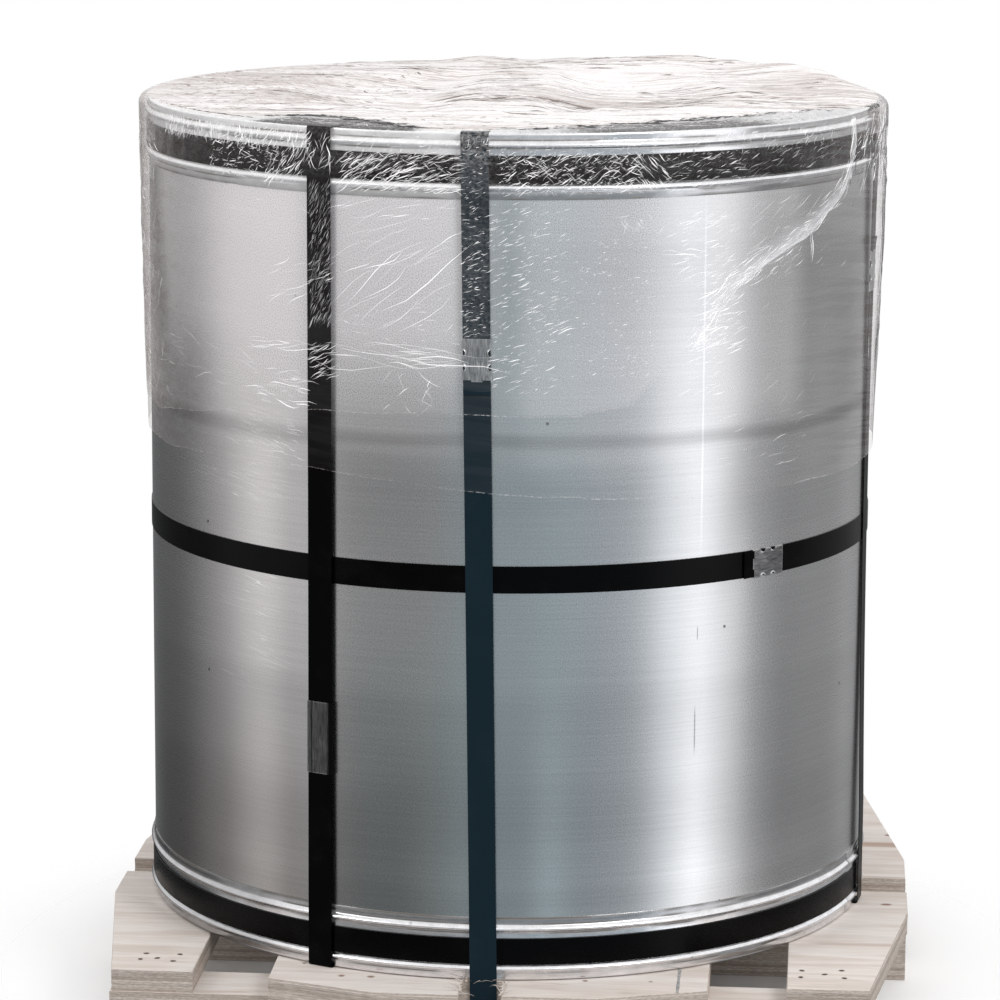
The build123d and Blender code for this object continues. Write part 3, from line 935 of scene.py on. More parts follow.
def make_seal(name, node, place, length, bites, material):
    """A crimped sleeve: its long edges are bitten in at the crimps, with a raised lip round each bite.
    A long sleeve has a groove along it instead, and one edge turned down; the groove and that edge are
    painted dark as shade."""
    section, outer_count = seal_section()
    steps = int(length / SEAL_GRID) + 1
    along = np.linspace(-length / 2, length / 2, steps)
    bite = np.zeros(steps)
    for middle in bites:
        near = np.clip(1 - ((along - middle) / BITE_HALF) ** 2, 0, 1)
        bite = np.maximum(bite, BITE_DEPTH * np.sqrt(near))
    across = np.repeat(section[:, :1], steps, 1)
    rise = np.repeat(section[:, 1:], steps, 1)
    limit = SEAL_HALF - bite[None, :]
    inside = np.arange(len(section))[:, None] >= outer_count
    limit = np.where(inside, np.maximum(limit - SEAL_SHEET, 0), limit)
    across = np.clip(across, -limit, limit)
    from_edge = np.abs(SEAL_HALF - bite[None, :] - np.abs(across))
    lip = bell(from_edge, 0, 1.1 * MM) * smooth_step(bite, 0.2 * MM, 1.2 * MM)[None, :]
    on_plate = (section[:, 1:] > 0.5 * MM) & ~inside
    rise = rise + np.where(on_plate, 0.8 * MM * lip - 0.35 * MM * (across / SEAL_HALF) ** 2, 0)
    ends = bell(np.abs(along), length / 2, 0.9 * MM)[None, :]
    # Painted highlight on the lips round the bites, at the ends and along the long rims.
    edge = np.clip(0.9 * lip + 0.5 * ends + 0.45 * bell(np.abs(across), SEAL_HALF, 0.7 * MM), 0, 1)
    if not bites:
        # Painted shade in the groove and on the turned-down edge of a long sleeve.
        cut = bell(across, -0.62 * SEAL_HALF, 0.8 * MM)
        turned = smooth_step(across, SEAL_HALF - 6.5 * MM, SEAL_HALF - 4.5 * MM)
        rise = rise - np.where(on_plate, 0.5 * MM * cut + 0.5 * MM * turned, 0)
        edge = edge * 0.5 * (1 - turned) - 0.9 * cut - turned
    points = place(along[None, :] + 0 * across, across, rise)
    uv = np.stack([along[None, :] + 0 * across, across], -1)
    new_piece(name, points, tube_faces(len(section), steps), material, [node], sharp=32, uv=uv,
              attributes={"edge": edge})


def on_loop(azimuth, height, bow, lean=no_lean):
    """Places a seal's (along, across, rise) on an upright strap's outer run."""
    side = sideways_at(azimuth)

    def place(along, across, rise):
        level = height + along
        radius = STRAP_OUT + STRAP_SHEET / 2 + rise - run_bow(level, bow)
        return around(azimuth, radius, level) + side * (across + lean(STRAP_OUT, level))[..., None]
    return place


def on_hoop(azimuth, outside, height):
    """Places a seal's (along, across, rise) on a level strap."""
    def place(along, across, rise):
        return around(azimuth + np.degrees(along / outside), outside + rise, height + across)
    return place


def make_tail(name, place, start, end, material):
    """The strap's cut end that comes out of a seal and lies on the strap below."""
    along = np.linspace(start, end, TAIL_STATIONS)
    half = STRAP_WIDTH / 2 - 0.2 * MM
    section = np.array([(-half, 0.05), (half, 0.05), (half, 0.9), (half - 0.3 * MM, 1.0),
                        (0.3 * MM - half, 1.0), (-half, 0.9)])
    section[:, 1] *= 0.95 * MM
    lift = 1.3 * MM * smooth_step(np.abs(along - start), 0.3 * abs(end - start), abs(end - start))
    across = np.repeat(section[:, :1], TAIL_STATIONS, 1)
    rise = section[:, 1:] + lift[None, :] + 0.05 * MM
    points = place(along[None, :] + 0 * across, across, rise)
    new_piece(name, points, tube_faces(len(section), TAIL_STATIONS), material, sharp=30)


# Film

INNER_COLUMNS, OUTER_COLUMNS = 540, 440
FILM_TOP_ROWS, FILM_BEND_ROWS, FILM_SIDE_ROWS = 58, 7, 82
FILM_TOP, FILM_BEND = 1117.2 * MM, 10 * MM
FILM_R = 459.5 * MM
FILM_CLEAR, FILM_LIFT = 0.5 * MM, 1.1 * MM
FILM_SEED, INNER_SEED, OUTER_SEED = 61, 61, 81
# The top's flat map lies this far below the side's.
TOP_MAP_SHIFT = 5.0
# Points on the side from which creases fan out: length round the coil and height.
FAN_CENTRES = ((-0.182, 0.874), (-0.300, 0.897))
# The top hoop under the film: its heights and outer radius.
HOOP_LOW, HOOP_HIGH, HOOP_OUT = 1.055, 1.091, 453 * MM
# Upright straps under the film, with the height of a seal on them.
FILM_CARRIERS = ((FRONT_LEFT, None), (0.0, 0.854), (RIGHT, 0.914), (180.0, None), (BACK_LEFT, None))
# The film leaves a strap at the first of these angles and is back on the coil at the second.
TENT_NEAR, TENT_FAR, TENT_DROP = 2.4, 9.5, 5 * MM
# Lower edges of the two layers: azimuth and height.
INNER_HEM = ((-180, 0.700), (-120, 0.712), (-63, 0.706), (-26, 0.717), (1, 0.698), (33, 0.684), (55, 0.685),
             (72, 0.682), (88, 0.696), (110, 0.690), (150, 0.71), (180, 0.700))
OUTER_HEM = ((-180, 0.80), (-130, 0.77), (-65, 0.746), (-26, 0.785), (-3, 0.791), (14, 0.788), (22, 0.80),
             (29, 0.85), (34.3, 0.883), (36.6, 0.912), (40.4, 0.935), (44.5, 0.956), (51, 0.975),
             (55.7, 0.987), (58.9, 1.005), (63.8, 1.023), (65.3, 1.042), (66.5, 1.063), (68, 1.085),
             (75, 1.085), (110, 1.08), (145, 1.02), (160, 0.9), (180, 0.80))


def hem_line(knots, azimuth, seed):
    """Height of a film layer's lower edge, with small ripples."""
    angles, heights = np.array(knots).T
    line = np.interp(azimuth, angles, heights)
    ripple = 1.6 * MM * gradient_noise(azimuth / 6, 0.4, seed, 60)
    return line + ripple + 0.5 * MM * gradient_noise(azimuth / 1.5, 0.7, seed + 1, 240)


def angle_from(azimuth, middle):
    return (azimuth - middle + 180) % 360 - 180


def film_rest(azimuth, height):
    """Least radius that keeps the film off the coil, the ring, the straps and their seals."""
    least = np.where(height > COIL_TOP - RING_SKIRT, RING_OUT, COIL_R) + 0 * azimuth
    for depth in BEAD_DEPTHS:
        bead = np.abs(height - (COIL_TOP + RING_SHEET - depth)) < 6 * MM
        least = np.where(bead, RING_OUT + BEAD_RISE, least)
    on_hoop_strap = (height > HOOP_LOW) & (height < HOOP_HIGH)
    least = np.where(on_hoop_strap, np.maximum(least, HOOP_OUT), least)
    for middle, seal in FILM_CARRIERS:
        aside = math.degrees(tie_lean(STRAP_OUT, 0.9) / STRAP_OUT) if middle == 0 else 0
        near = np.abs(angle_from(azimuth, middle + aside))
        tent = STRAP_OUT + STRAP_SHEET / 2 - TENT_DROP * smooth_step(near, TENT_NEAR, TENT_FAR)
        least = np.maximum(least, np.where(near < TENT_FAR, tent, 0))
        if seal is not None:
            on_seal = smooth_step(near, 4.2, 2.7) * smooth_step(np.abs(height - seal), 40 * MM, 29 * MM)
            least = np.maximum(least, STRAP_OUT - 3 * MM + on_seal * 5.2 * MM)
    return least + FILM_CLEAR


def fan_ridges(along, height, seed):
    """Creases that run out from the film's pulled points."""
    total = 0 * along
    for number, (u, v) in enumerate(FAN_CENTRES):
        reach = np.hypot(along - u, height - v)
        angle = np.degrees(np.arctan2(height - v, along - u))
        spokes = ridges(angle / 4.5, reach * 5, seed + number)
        near = smooth_step(reach, 0.01, 0.05) * bell(reach, 0.1, 0.13)
        total = total + spokes * bell(angle, 24, 22) * near
    return total


def slanted(along, height, degrees, long, short, seed):
    """Parallel creases at one angle on the side laid flat."""
    angle = math.radians(degrees)
    down = along * math.cos(angle) + height * math.sin(angle)
    across = height * math.cos(angle) - along * math.sin(angle)
    return ridges(down / long, across / short, seed)


def film_radius(azimuth, height):
    """How far the inner film stands from the coil's axis on the side."""
    seed = FILM_SEED
    along = COIL_R * np.radians(azimuth)
    down = np.clip((FILM_TOP - height) / 0.42, 0, 1)
    rise = -6.0 * MM * down ** 1.3
    rise = rise + 4.0 * MM * bell(azimuth, 93, 13) * (0.3 + 0.7 * bell(height, 0.96, 0.10))
    rise = rise + 1.5 * MM * bell(azimuth, -92, 16) * (1 - 0.7 * down)
    shallow = ridges(azimuth * 110 / 360, height * 3.2, seed, 110)
    rise = rise + 0.9 * MM * shallow * smooth_step(height, 0.95, 1.10)
    front = smooth_step(np.abs(azimuth), 175, 150) * bell(height, 0.93, 0.14)
    rise = rise + 0.5 * MM * front * slanted(along, height, 22, 0.16, 0.016, seed + 1)
    rise = rise + 0.35 * MM * ridges(azimuth * 64 / 360, height * 30, seed + 2, 64) * (1 - 0.75 * down)
    rise = rise + 0.6 * MM * fan_ridges(along, height, seed + 4)
    pleats = ridges(azimuth * 250 / 360, height * 3.0, seed + 6, 250)
    rise = rise + 2.0 * MM * pleats * bell(azimuth, 92, 8) * smooth_step(height, 0.66, 0.80)
    return np.maximum(FILM_R + rise, film_rest(azimuth, height))


# Lumps at the back of the film's top: middle and reach across and along in metres, height in mm.
FILM_LUMPS = ((0.16, 0.37, 0.18, 0.10, 8.0), (-0.085, 0.40, 0.045, 0.07, 7.0), (0.21, 0.38, 0.06, 0.07, 6.0),
              (0.325, 0.27, 0.06, 0.10, 9.0), (0.375, 0.19, 0.05, 0.09, 8.0))


def film_top_rise(x, y):
    """How far the film on the top stands above the straps that carry it."""
    seed = FILM_SEED + 20
    radius = np.hypot(x - AXIS_X, y)
    lumps = 2.6 * MM * (gradient_noise(x * 5, y * 5, seed) + 0.3)
    long_folds = 2.2 * MM * ridges(x * 5, y * 26, seed + 1)
    crumple = 0.9 * MM * ridges(x * 30, y * 34, seed + 2) + 0.5 * MM * ridges(x * 75, y * 80, seed + 3)
    flat_left = 1 - 0.75 * smooth_step(radius, 0.28, 0.40) * smooth_step(x, 0.12, -0.05)
    rise = (lumps + long_folds + crumple) * flat_left + MM * bells(FILM_LUMPS, x, y)
    on_tie = smooth_step(np.abs(x - AXIS_X), 0.03, 0.11)
    rise = rise - 11 * MM * smooth_step(radius, 0.30, 0.20) * on_tie
    held = np.where((radius > 0.295) | (np.abs(x - AXIS_X) < 0.035), 0.0, -0.05)
    return np.maximum(rise * smooth_step(radius, FILM_R, FILM_R - 0.03), held)


# Sheets of the film's top that lie pale, partly a painted highlight, or beige: middle and reach across and
# along, how pale.
FILM_TONES = ((-0.11, -0.19, 0.13, 0.07, 0.5), (-0.38, 0.12, 0.10, 0.10, -0.6),
              (0.08, 0.24, 0.09, 0.08, 0.7), (0.10, -0.28, 0.15, 0.05, 0.7),
              (0.03, -0.08, 0.07, 0.05, -0.75),
              (0.17, -0.06, 0.09, 0.05, -0.55), (0.37, 0.05, 0.07, 0.12, -0.35),
              (0.20, 0.42, 0.15, 0.04, -0.5), (-0.10, 0.42, 0.10, 0.03, -0.4),
              (-0.27, -0.10, 0.06, 0.10, -0.4), (-0.05, 0.12, 0.12, 0.05, 0.4))
# Where the white of the film's top starts: azimuth and depth inside the rim in mm.
WHITE_EDGE = ((-62, 4), (-43, 4), (-40, 9), (-38, 45), (-35, 72), (-31, 84), (-27, 84), (-20, 66),
              (-13.5, 36), (-8, 4), (-4, 0), (0, 2), (2.5, 18), (8, 24), (12, 34), (20, 52), (29, 64),
              (35, 70), (42, 68), (48, 64), (54, 54), (58, 42), (64, 30), (70, 16), (78, 2))


def white_edge(azimuth):
    """How far in from the rim the top's white creases start: the film is clear over the front strap."""
    ragged = 6 * MM * gradient_noise(azimuth / 5, 0.6, FILM_SEED + 31, 72)
    ragged = ragged + 3 * MM * gradient_noise(azimuth / 1.2, 0.2, FILM_SEED + 32, 300)
    angles, depths = np.array(WHITE_EDGE).T
    return 3 * MM + ragged + np.interp(azimuth, angles, depths) * MM


def film_whiteness(azimuth, height, at_hem=False):
    """How much of the film on the side is white with creases, from 0 to 1."""
    white = 0.02 * smooth_step(height, 1.03, 1.112)
    pleats = ridges(azimuth * 200 / 360, height * 4.0, FILM_SEED + 8, 200)
    white = white + 0.3 * pleats ** 2 * bell(azimuth, 88, 11) * smooth_step(height, 0.98, 1.06)
    white = white + 0.36 * bell(azimuth, -82, 11) * smooth_step(height, 0.74, 0.80)
    on_tie = plateau(azimuth, -3.2, 0.9, 0.5) * smooth_step(height, 0.865, 0.875)
    white = white + (0.02 + 0.04 * smooth_step(height, 1.07, 1.10)) * on_tie
    return white + 0.30 * at_hem


def make_film(name, knots, lift, seed, columns, material, replaced=()):
    """One layer of stretch film: a creased cap over the top, the rim and the upper side."""
    azimuth = np.linspace(-180, 180, columns, endpoint=False)
    hem = hem_line(knots, azimuth, seed)
    bend_r = FILM_R - FILM_BEND
    radii = np.concatenate([[4 * MM, 12 * MM], np.linspace(22 * MM, bend_r, FILM_TOP_ROWS - 2)])
    points, white = [], []
    for radius in radii:
        plane = around(azimuth, radius, FILM_TOP + lift)
        plane[:, 2] += film_top_rise(plane[:, 0], plane[:, 1])
        points.append(plane)
        inside = FILM_R - radius - white_edge(azimuth)
        white.append(0.03 + 0.97 * smooth_step(inside, -6 * MM, 7 * MM))
    edge_rise = points[-1][:, 2] - FILM_TOP - lift
    start = FILM_TOP - FILM_BEND
    side_r = film_radius(azimuth, np.full(columns, start))
    for turn in np.linspace(0, np.pi / 2, FILM_BEND_ROWS + 1)[1:]:
        radius = bend_r + lift + (side_r - bend_r) * np.sin(turn)
        height = start + lift * np.cos(turn) + FILM_BEND * np.cos(turn) + edge_rise * np.cos(turn)
        points.append(around(azimuth, radius, height))
        white.append(film_whiteness(azimuth, np.full(columns, start)))
    for share in np.linspace(0, 1, FILM_SIDE_ROWS)[1:] ** 0.9:
        height = start + (hem + 1.2 * MM - start) * share
        points.append(around(azimuth, film_radius(azimuth, height) + lift, height))
        white.append(film_whiteness(azimuth, height))
    last = points[-1].copy()
    last[:, 2] = hem
    points.append(last)
    white.append(film_whiteness(azimuth, hem, at_hem=True))
    grid = np.array(points)
    faces = grid_faces(len(grid), columns, close_columns=True)
    corner_uv = film_flat(grid, azimuth, FILM_TOP_ROWS + FILM_BEND_ROWS // 2).tolist()
    middle = len(grid) * columns
    all_points = np.concatenate([grid.reshape(-1, 3), [[AXIS_X, 0, FILM_TOP + lift + 1 * MM]]])
    for column in range(columns):
        after = (column + 1) % columns
        faces.append([middle, after, column])
        corners = (AXIS_X, 0), grid[0, after, :2], grid[0, column, :2]
        corner_uv.append([(x, y - TOP_MAP_SHIFT) for x, y in corners])
    weights = {"white": np.append(np.array(white).ravel(), 0.9),
               "tone": bells(FILM_TONES, all_points[:, 0], all_points[:, 1])}
    return new_piece(name, all_points, [face[::-1] for face in faces], material, replaced,
                     corner_uv=[corners[::-1] for corners in corner_uv], attributes=weights)


def film_flat(grid, azimuth, top_rows):
    """Each quad's corners laid flat in metres: the top seen from above, the side unrolled."""
    rows, columns = grid.shape[:2]
    step = 2 * np.pi / columns
    along = COIL_R * (np.radians(azimuth[0]) + step * np.arange(columns + 1))
    height = np.concatenate([grid[:, :, 2], grid[:, :1, 2]], 1)
    side = np.stack([np.broadcast_to(along, height.shape), height], -1)
    top = np.concatenate([grid[:, :, :2], grid[:, :1, :2]], 1) - np.array([0.0, TOP_MAP_SHIFT])
    cells = np.empty((rows - 1, columns, 4, 2))
    for source, span in ((top, slice(0, top_rows)), (side, slice(top_rows, rows - 1))):
        first, stop = span.start, span.stop
        cells[span, :, 0] = source[first:stop, :-1]
        cells[span, :, 1] = source[first:stop, 1:]
        cells[span, :, 2] = source[first + 1:stop + 1, 1:]
        cells[span, :, 3] = source[first + 1:stop + 1, :-1]
    return cells.reshape(-1, 4, 2)


# Bundles of sharp creases on the film's side: azimuths, heights, angle and spread, count, lengths in mm
# and how white they are.
# White creases are partly whitened film and partly painted glints.
SIDE_CREASES = (
    (-21.4, -4.7, 0.885, 0.970, 37, 4, 10, 69, 149, 0.75),
    (-35.4, -26.7, 0.912, 0.959, 26, 5, 10, 21, 64, 0.7),
    (-21.4, -3.6, 0.947, 1.014, 26, 5, 18, 28, 108, 0.55),
    (-21.4, -3.6, 1.014, 1.037, 14, 7, 20, 11, 57, 0.45),
    (-37.1, -26.5, 0.852, 0.865, 3, 4, 14, 18, 64, 0.8),
    (-21.9, -2.7, 0.845, 0.865, -1, 4, 28, 29, 127, 0.6),
    (-37.5, -26.6, 0.788, 0.830, -1, 7, 50, 9, 53, 0.8),
    (-26.4, -22.4, 0.823, 0.868, 24, 8, 42, 9, 26, 0.85),
    (-26.3, -22.4, 0.936, 0.960, 24, 6, 14, 9, 25, 0.8),
    (-26.2, -22.7, 0.885, 1.052, 62, 8, 330, 6, 18, 0.22),
    (-26.9, -22.0, 1.070, 1.106, 76, 28, 26, 11, 30, 0.85),
    (-21.4, -3.6, 0.868, 0.927, 14, 28, 60, 5, 16, 0.6),
    (-15.4, -6.7, 0.794, 0.834, 50, 14, 7, 12, 44, 0.55),
    (-15.4, -6.7, 0.794, 0.834, -48, 14, 6, 12, 37, 0.45),
    (-62.3, -37.5, 0.768, 0.849, -7, 12, 26, 22, 72, 0.22),
    (-43.3, -27.1, 0.715, 0.772, -9, 5, 56, 9, 47, 0.26),
    (-42.9, -27.0, 1.005, 1.034, -19, 12, 12, 7, 28, 0.3),
    (1.0, 6.5, 0.922, 1.039, 22, 5, 120, 3, 15, 0.95),
    (6.5, 12.4, 0.887, 1.030, 21, 6, 100, 3, 13, 0.9),
    (1.1, 10.8, 0.816, 0.922, 21, 7, 130, 3, 16, 0.95),
    (12.5, 25.7, 0.833, 0.993, 16, 14, 160, 2, 9, 0.75),
    (7.3, 12.9, 0.878, 0.903, 22, 3, 4, 18, 34, 1.0),
    (29.0, 37.5, 0.937, 1.020, 16, 4, 80, 8, 34, 0.6),
    (32.6, 40.1, 0.854, 0.936, 16, 4, 90, 8, 38, 0.75),
    (30.3, 37.9, 0.803, 0.879, 15, 4, 50, 6, 28, 0.55),
    (27.4, 33.6, 0.967, 0.978, -5, 3, 9, 11, 41, 0.8),
    (20.4, 23.4, 0.999, 1.017, -2, 90, 26, 5, 18, 0.4),
    (18.5, 29.9, 0.987, 1.027, 12, 35, 26, 6, 23, 0.3),
    (44.3, 64.5, 0.781, 0.983, 33, 10, 16, 14, 53, 0.2),
    (30.5, 65.6, 0.706, 0.777, 8, 5, 30, 10, 48, 0.18),
    (-2.9, 0.6, 0.881, 1.080, 16, 14, 150, 3, 12, 1.0),
    (35.9, 43.2, 0.928, 0.955, 20, 6, 20, 12, 46, 0.6),
    (70.0, 94.0, 1.020, 1.108, 70, 16, 130, 8, 40, 0.9),
    (76.0, 96.0, 0.800, 1.020, 80, 8, 30, 12, 50, 0.4),
    (-90.0, -62.6, 0.760, 1.078, 70, 10, 60, 15, 73, 0.25),
    (-21.0, -12.0, 1.046, 1.090, 32, 9, 190, 4, 30, 1.0),
    (-13.0, -3.0, 1.046, 1.090, 17, 9, 190, 4, 30, 1.0),
    (-21.0, -3.0, 1.046, 1.090, -28, 12, 60, 4, 16, 0.6),
    (-34.0, -27.5, 1.048, 1.088, 50, 12, 100, 5, 28, 1.0),
    (-46.0, -32.0, 1.050, 1.092, 14, 24, 200, 3, 16, 0.85),
    (2.5, 23.0, 1.046, 1.092, 27, 12, 360, 3, 18, 1.0),
    (2.5, 23.0, 1.046, 1.092, -32, 12, 160, 3, 18, 0.9),
    (22.5, 27.5, 1.052, 1.088, -45, 4, 34, 12, 26, 0.8),
    (26.5, 40.0, 1.048, 1.088, 14, 12, 120, 4, 22, 0.6),
    (40.0, 62.0, 1.050, 1.088, 22, 9, 70, 6, 26, 0.3),
    (-60.0, -26.0, 1.088, 1.111, 60, 26, 560, 4, 18, 1.1),
    (-20.0, 60.0, 1.088, 1.111, 45, 26, 460, 3, 13, 0.6),
    (54.5, 55.0, 0.958, 0.974, 88, 3, 4, 24, 34, 1.2),
    (36.0, 60.0, 0.940, 1.030, 30, 8, 110, 8, 40, 0.4),
    (100.0, 200.0, 0.780, 1.090, 20, 14, 260, 8, 50, 0.8),
    (200.0, 290.0, 0.760, 1.090, -18, 14, 260, 8, 50, 0.8),
    (66.0, 180.0, 1.046, 1.092, 24, 14, 330, 4, 24, 0.9),
    (180.0, 296.0, 1.046, 1.092, -20, 16, 330, 4, 24, 0.9),
)


# Painted shade lines along the side's folds, in the same columns.
SIDE_SHADE_CREASES = (
    (84.0, 97.0, 0.800, 1.090, 82, 7, 60, 20, 80, 0.6),
    (74.0, 92.0, 1.020, 1.105, 74, 14, 70, 8, 40, 0.8),
    (64.0, 80.0, 1.000, 1.105, 68, 14, 30, 10, 50, 0.6),
    (-96.0, -74.0, 0.800, 1.090, 76, 12, 80, 15, 70, 0.5),
)


# The same for the top, with places across and along in metres.
TOP_CREASES = (
    (-0.28, 0.05, -0.14, 0.16, -30, 5, 170, 50, 210, 0.7),
    (-0.05, 0.30, -0.28, 0.30, -4, 7, 230, 40, 190, 0.75),
    (-0.43, -0.14, -0.26, 0.24, -20, 34, 700, 4, 24, 0.7),
    (-0.20, 0.34, -0.43, -0.26, 2, 14, 360, 8, 50, 0.75),
    (-0.31, -0.05, -0.455, -0.34, 70, 45, 220, 5, 24, 1.1),
    (0.0, 0.38, -0.455, -0.30, 70, 45, 300, 5, 24, 1.0),
    (-0.30, 0.30, 0.24, 0.43, 0, 14, 220, 12, 70, 0.6),
    (0.20, 0.43, -0.24, 0.26, 20, 26, 300, 8, 60, 0.65),
)
# Painted shade lines in the top's creases, in the same columns.
SHADE_CREASES = (
    (-0.08, 0.09, -0.15, -0.06, -3, 6, 60, 16, 85, 1.0),
    (-0.30, 0.30, -0.30, 0.34, -9, 9, 190, 20, 110, 0.7),
    (0.14, 0.40, -0.18, 0.14, 8, 24, 90, 12, 70, 0.75),
    (-0.43, -0.14, -0.26, 0.24, -22, 30, 520, 4, 24, 0.75),
    (-0.20, 0.40, -0.44, -0.32, 8, 20, 190, 4, 26, 0.6),
    (-0.28, 0.32, 0.30, 0.44, 0, 12, 140, 8, 60, 0.7),
)
CREASE_STATIONS = np.linspace(-1, 1, 5)
# A crease's three long edges: how far aside and how high, in shares of its half width.
CREASE_EDGES = ((-1, -0.1), (1, -0.1), (0, 0.8))
SIDE_CREASE_TOP = 1.1105


def rim_shadow_bundles():
    """Painted shadow lines under the film along the edge of the top's white, in the rows of the top's shade
    creases.
    """
    rows = []
    for azimuth in np.arange(-58, 66, 2.0):
        middle = around(azimuth, FILM_R - float(white_edge(azimuth)) + 3 * MM, 0.0)
        count = 3 + int(14 * rim_dark_reflection(azimuth))
        x, y, _ = middle
        rows.append((x - 9 * MM, x + 9 * MM, y - 16 * MM, y + 3 * MM, azimuth, 14, count, 5, 24, 0.85))
    return tuple(rows)


def on_film_side(u, v, rise):
    """Points on the film's side from the length round it and the height."""
    v = np.minimum(v, SIDE_CREASE_TOP)
    azimuth = np.degrees(u / COIL_R)
    turned = angle_from(azimuth, 0)
    over = np.where(v > hem_line(OUTER_HEM, turned, OUTER_SEED), FILM_LIFT, 0)
    return around(azimuth, film_radius(turned, v) + over + rise, v)


def on_film_top(x, y, rise):
    """Points on the film's top, kept inside its rim."""
    across = x - AXIS_X
    inside = np.minimum(1, (FILM_R - FILM_BEND) / np.maximum(np.hypot(across, y), 1 * MM))
    x, y = AXIS_X + across * inside, y * inside
    return np.stack([x, y, FILM_TOP + FILM_LIFT + film_top_rise(x, y) + rise], -1)


def crease_places(clusters, rng, turn):
    """Middle, angle, length, width and whiteness of every crease in the bundles."""
    rows = []
    for left, right, low, high, tilt, spread, count, short, long, bright in clusters:
        u, v = turn * rng.uniform(left, right, count), rng.uniform(low, high, count)
        angle = np.radians(tilt + spread * rng.uniform(-1.6, 1.6, count))
        length = short * (long / short) ** rng.uniform(0, 1, count) ** 1.4 * MM
        width = (0.36 + 0.75 * rng.uniform(0, 1, count) ** 2) * MM * np.clip(length / (12 * MM), 0.75, 1.3)
        white = bright * (0.22 + 1.0 * rng.uniform(0, 1, count) ** 2)
        rows.append(np.stack([u, v, angle, length, width, white], 1))
    return np.concatenate(rows)


def make_creases(name, clusters, surface, seed, material, swell=1.0):
    """Sharp creases in the film: slim closed slivers that lie in it, thin at both ends."""
    rng = np.random.default_rng(seed)
    rows = crease_places(clusters, rng, COIL_R * np.pi / 180 if surface is on_film_side else 1.0)
    count, stations = len(rows), len(CREASE_STATIONS)
    u, v, angle, length, width, white = (column[:, None] for column in rows.T)
    s = CREASE_STATIONS[None, :]
    bend, twist = rng.uniform(-0.11, 0.11, (2, count, 1))
    bow = length * (bend * (1 - s * s) + twist * s * (1 - s * s))
    slim = swell * width / 2 * np.maximum(1 - s * s, 0.04) ** 0.7
    points = []
    for across, rise in CREASE_EDGES:
        aside = bow + across * slim
        points.append(surface(u + length / 2 * s * np.cos(angle) - aside * np.sin(angle),
                              v + length / 2 * s * np.sin(angle) + aside * np.cos(angle), rise * slim))
    points = np.stack(points, 1)
    faces = []
    for start in range(0, count * 3 * stations, 3 * stations):
        for column in range(stations - 1):
            for row in range(3):
                a, b = start + row * stations + column, start + (row + 1) % 3 * stations + column
                faces.append([a, a + 1, b + 1, b])
        faces.append([start, start + stations, start + 2 * stations])
        faces.append([start + 3 * stations - 1, start + 2 * stations - 1, start + stations - 1])
    fade = np.clip(white * (1 - 0.5 * np.abs(s)), 0, 1)
    weights = {"white": np.repeat(fade[:, None, :], 3, 1)}
    return new_piece(name, points, faces, material, attributes=weights)


# The gathered fold at the right: azimuth, height and half width in mm.
FOLD_KNOTS = ((66.8, 1.116, 3.5), (65.8, 1.109, 5.5), (66.3, 1.087, 6.0), (65.7, 1.063, 4.5),
              (64.2, 1.043, 4.0), (62.0, 1.026, 6.0), (57.4, 1.011, 9.0), (53.9, 0.996, 11.0),
              (49.5, 0.983, 11.0), (43.6, 0.962, 9.5), (39.6, 0.941, 8.0), (35.8, 0.918, 6.5),
              (33.5, 0.887, 4.0), (31.8, 0.866, 2.0))
FOLD_STATIONS, FOLD_SIDES, FOLD_PLEATS = 150, 40, 14


def fold_bundles():
    """Fine creases along the gathered fold, in the rows of SIDE_CREASES."""
    rows = []
    for (a, z, wide), (b, low, _) in zip(FOLD_KNOTS, FOLD_KNOTS[1:]):
        tilt = math.degrees(math.atan2(z - low, COIL_R * math.radians(a - b)))
        aside = wide * 0.6 * MM
        rows.append((min(a, b) - 0.5, max(a, b) + 0.5, low - aside, z, tilt, 7, 14, 10, 40, 0.75))
    return tuple(rows)


def smooth_path(knots, count):
    """A smooth line through a few knots."""
    knots = np.array(knots, float)
    place = np.linspace(0, len(knots) - 1, count)
    index = np.minimum(place.astype(int), len(knots) - 2)
    share = (place - index)[:, None]
    before, after = knots[np.maximum(index - 1, 0)], knots[np.minimum(index + 2, len(knots) - 1)]
    start, end = knots[index], knots[index + 1]
    square, cube = 2 * before - 5 * start + 4 * end - after, 3 * start - before - 3 * end + after
    return 0.5 * (2 * start + (end - before) * share + square * share ** 2 + cube * share ** 3)


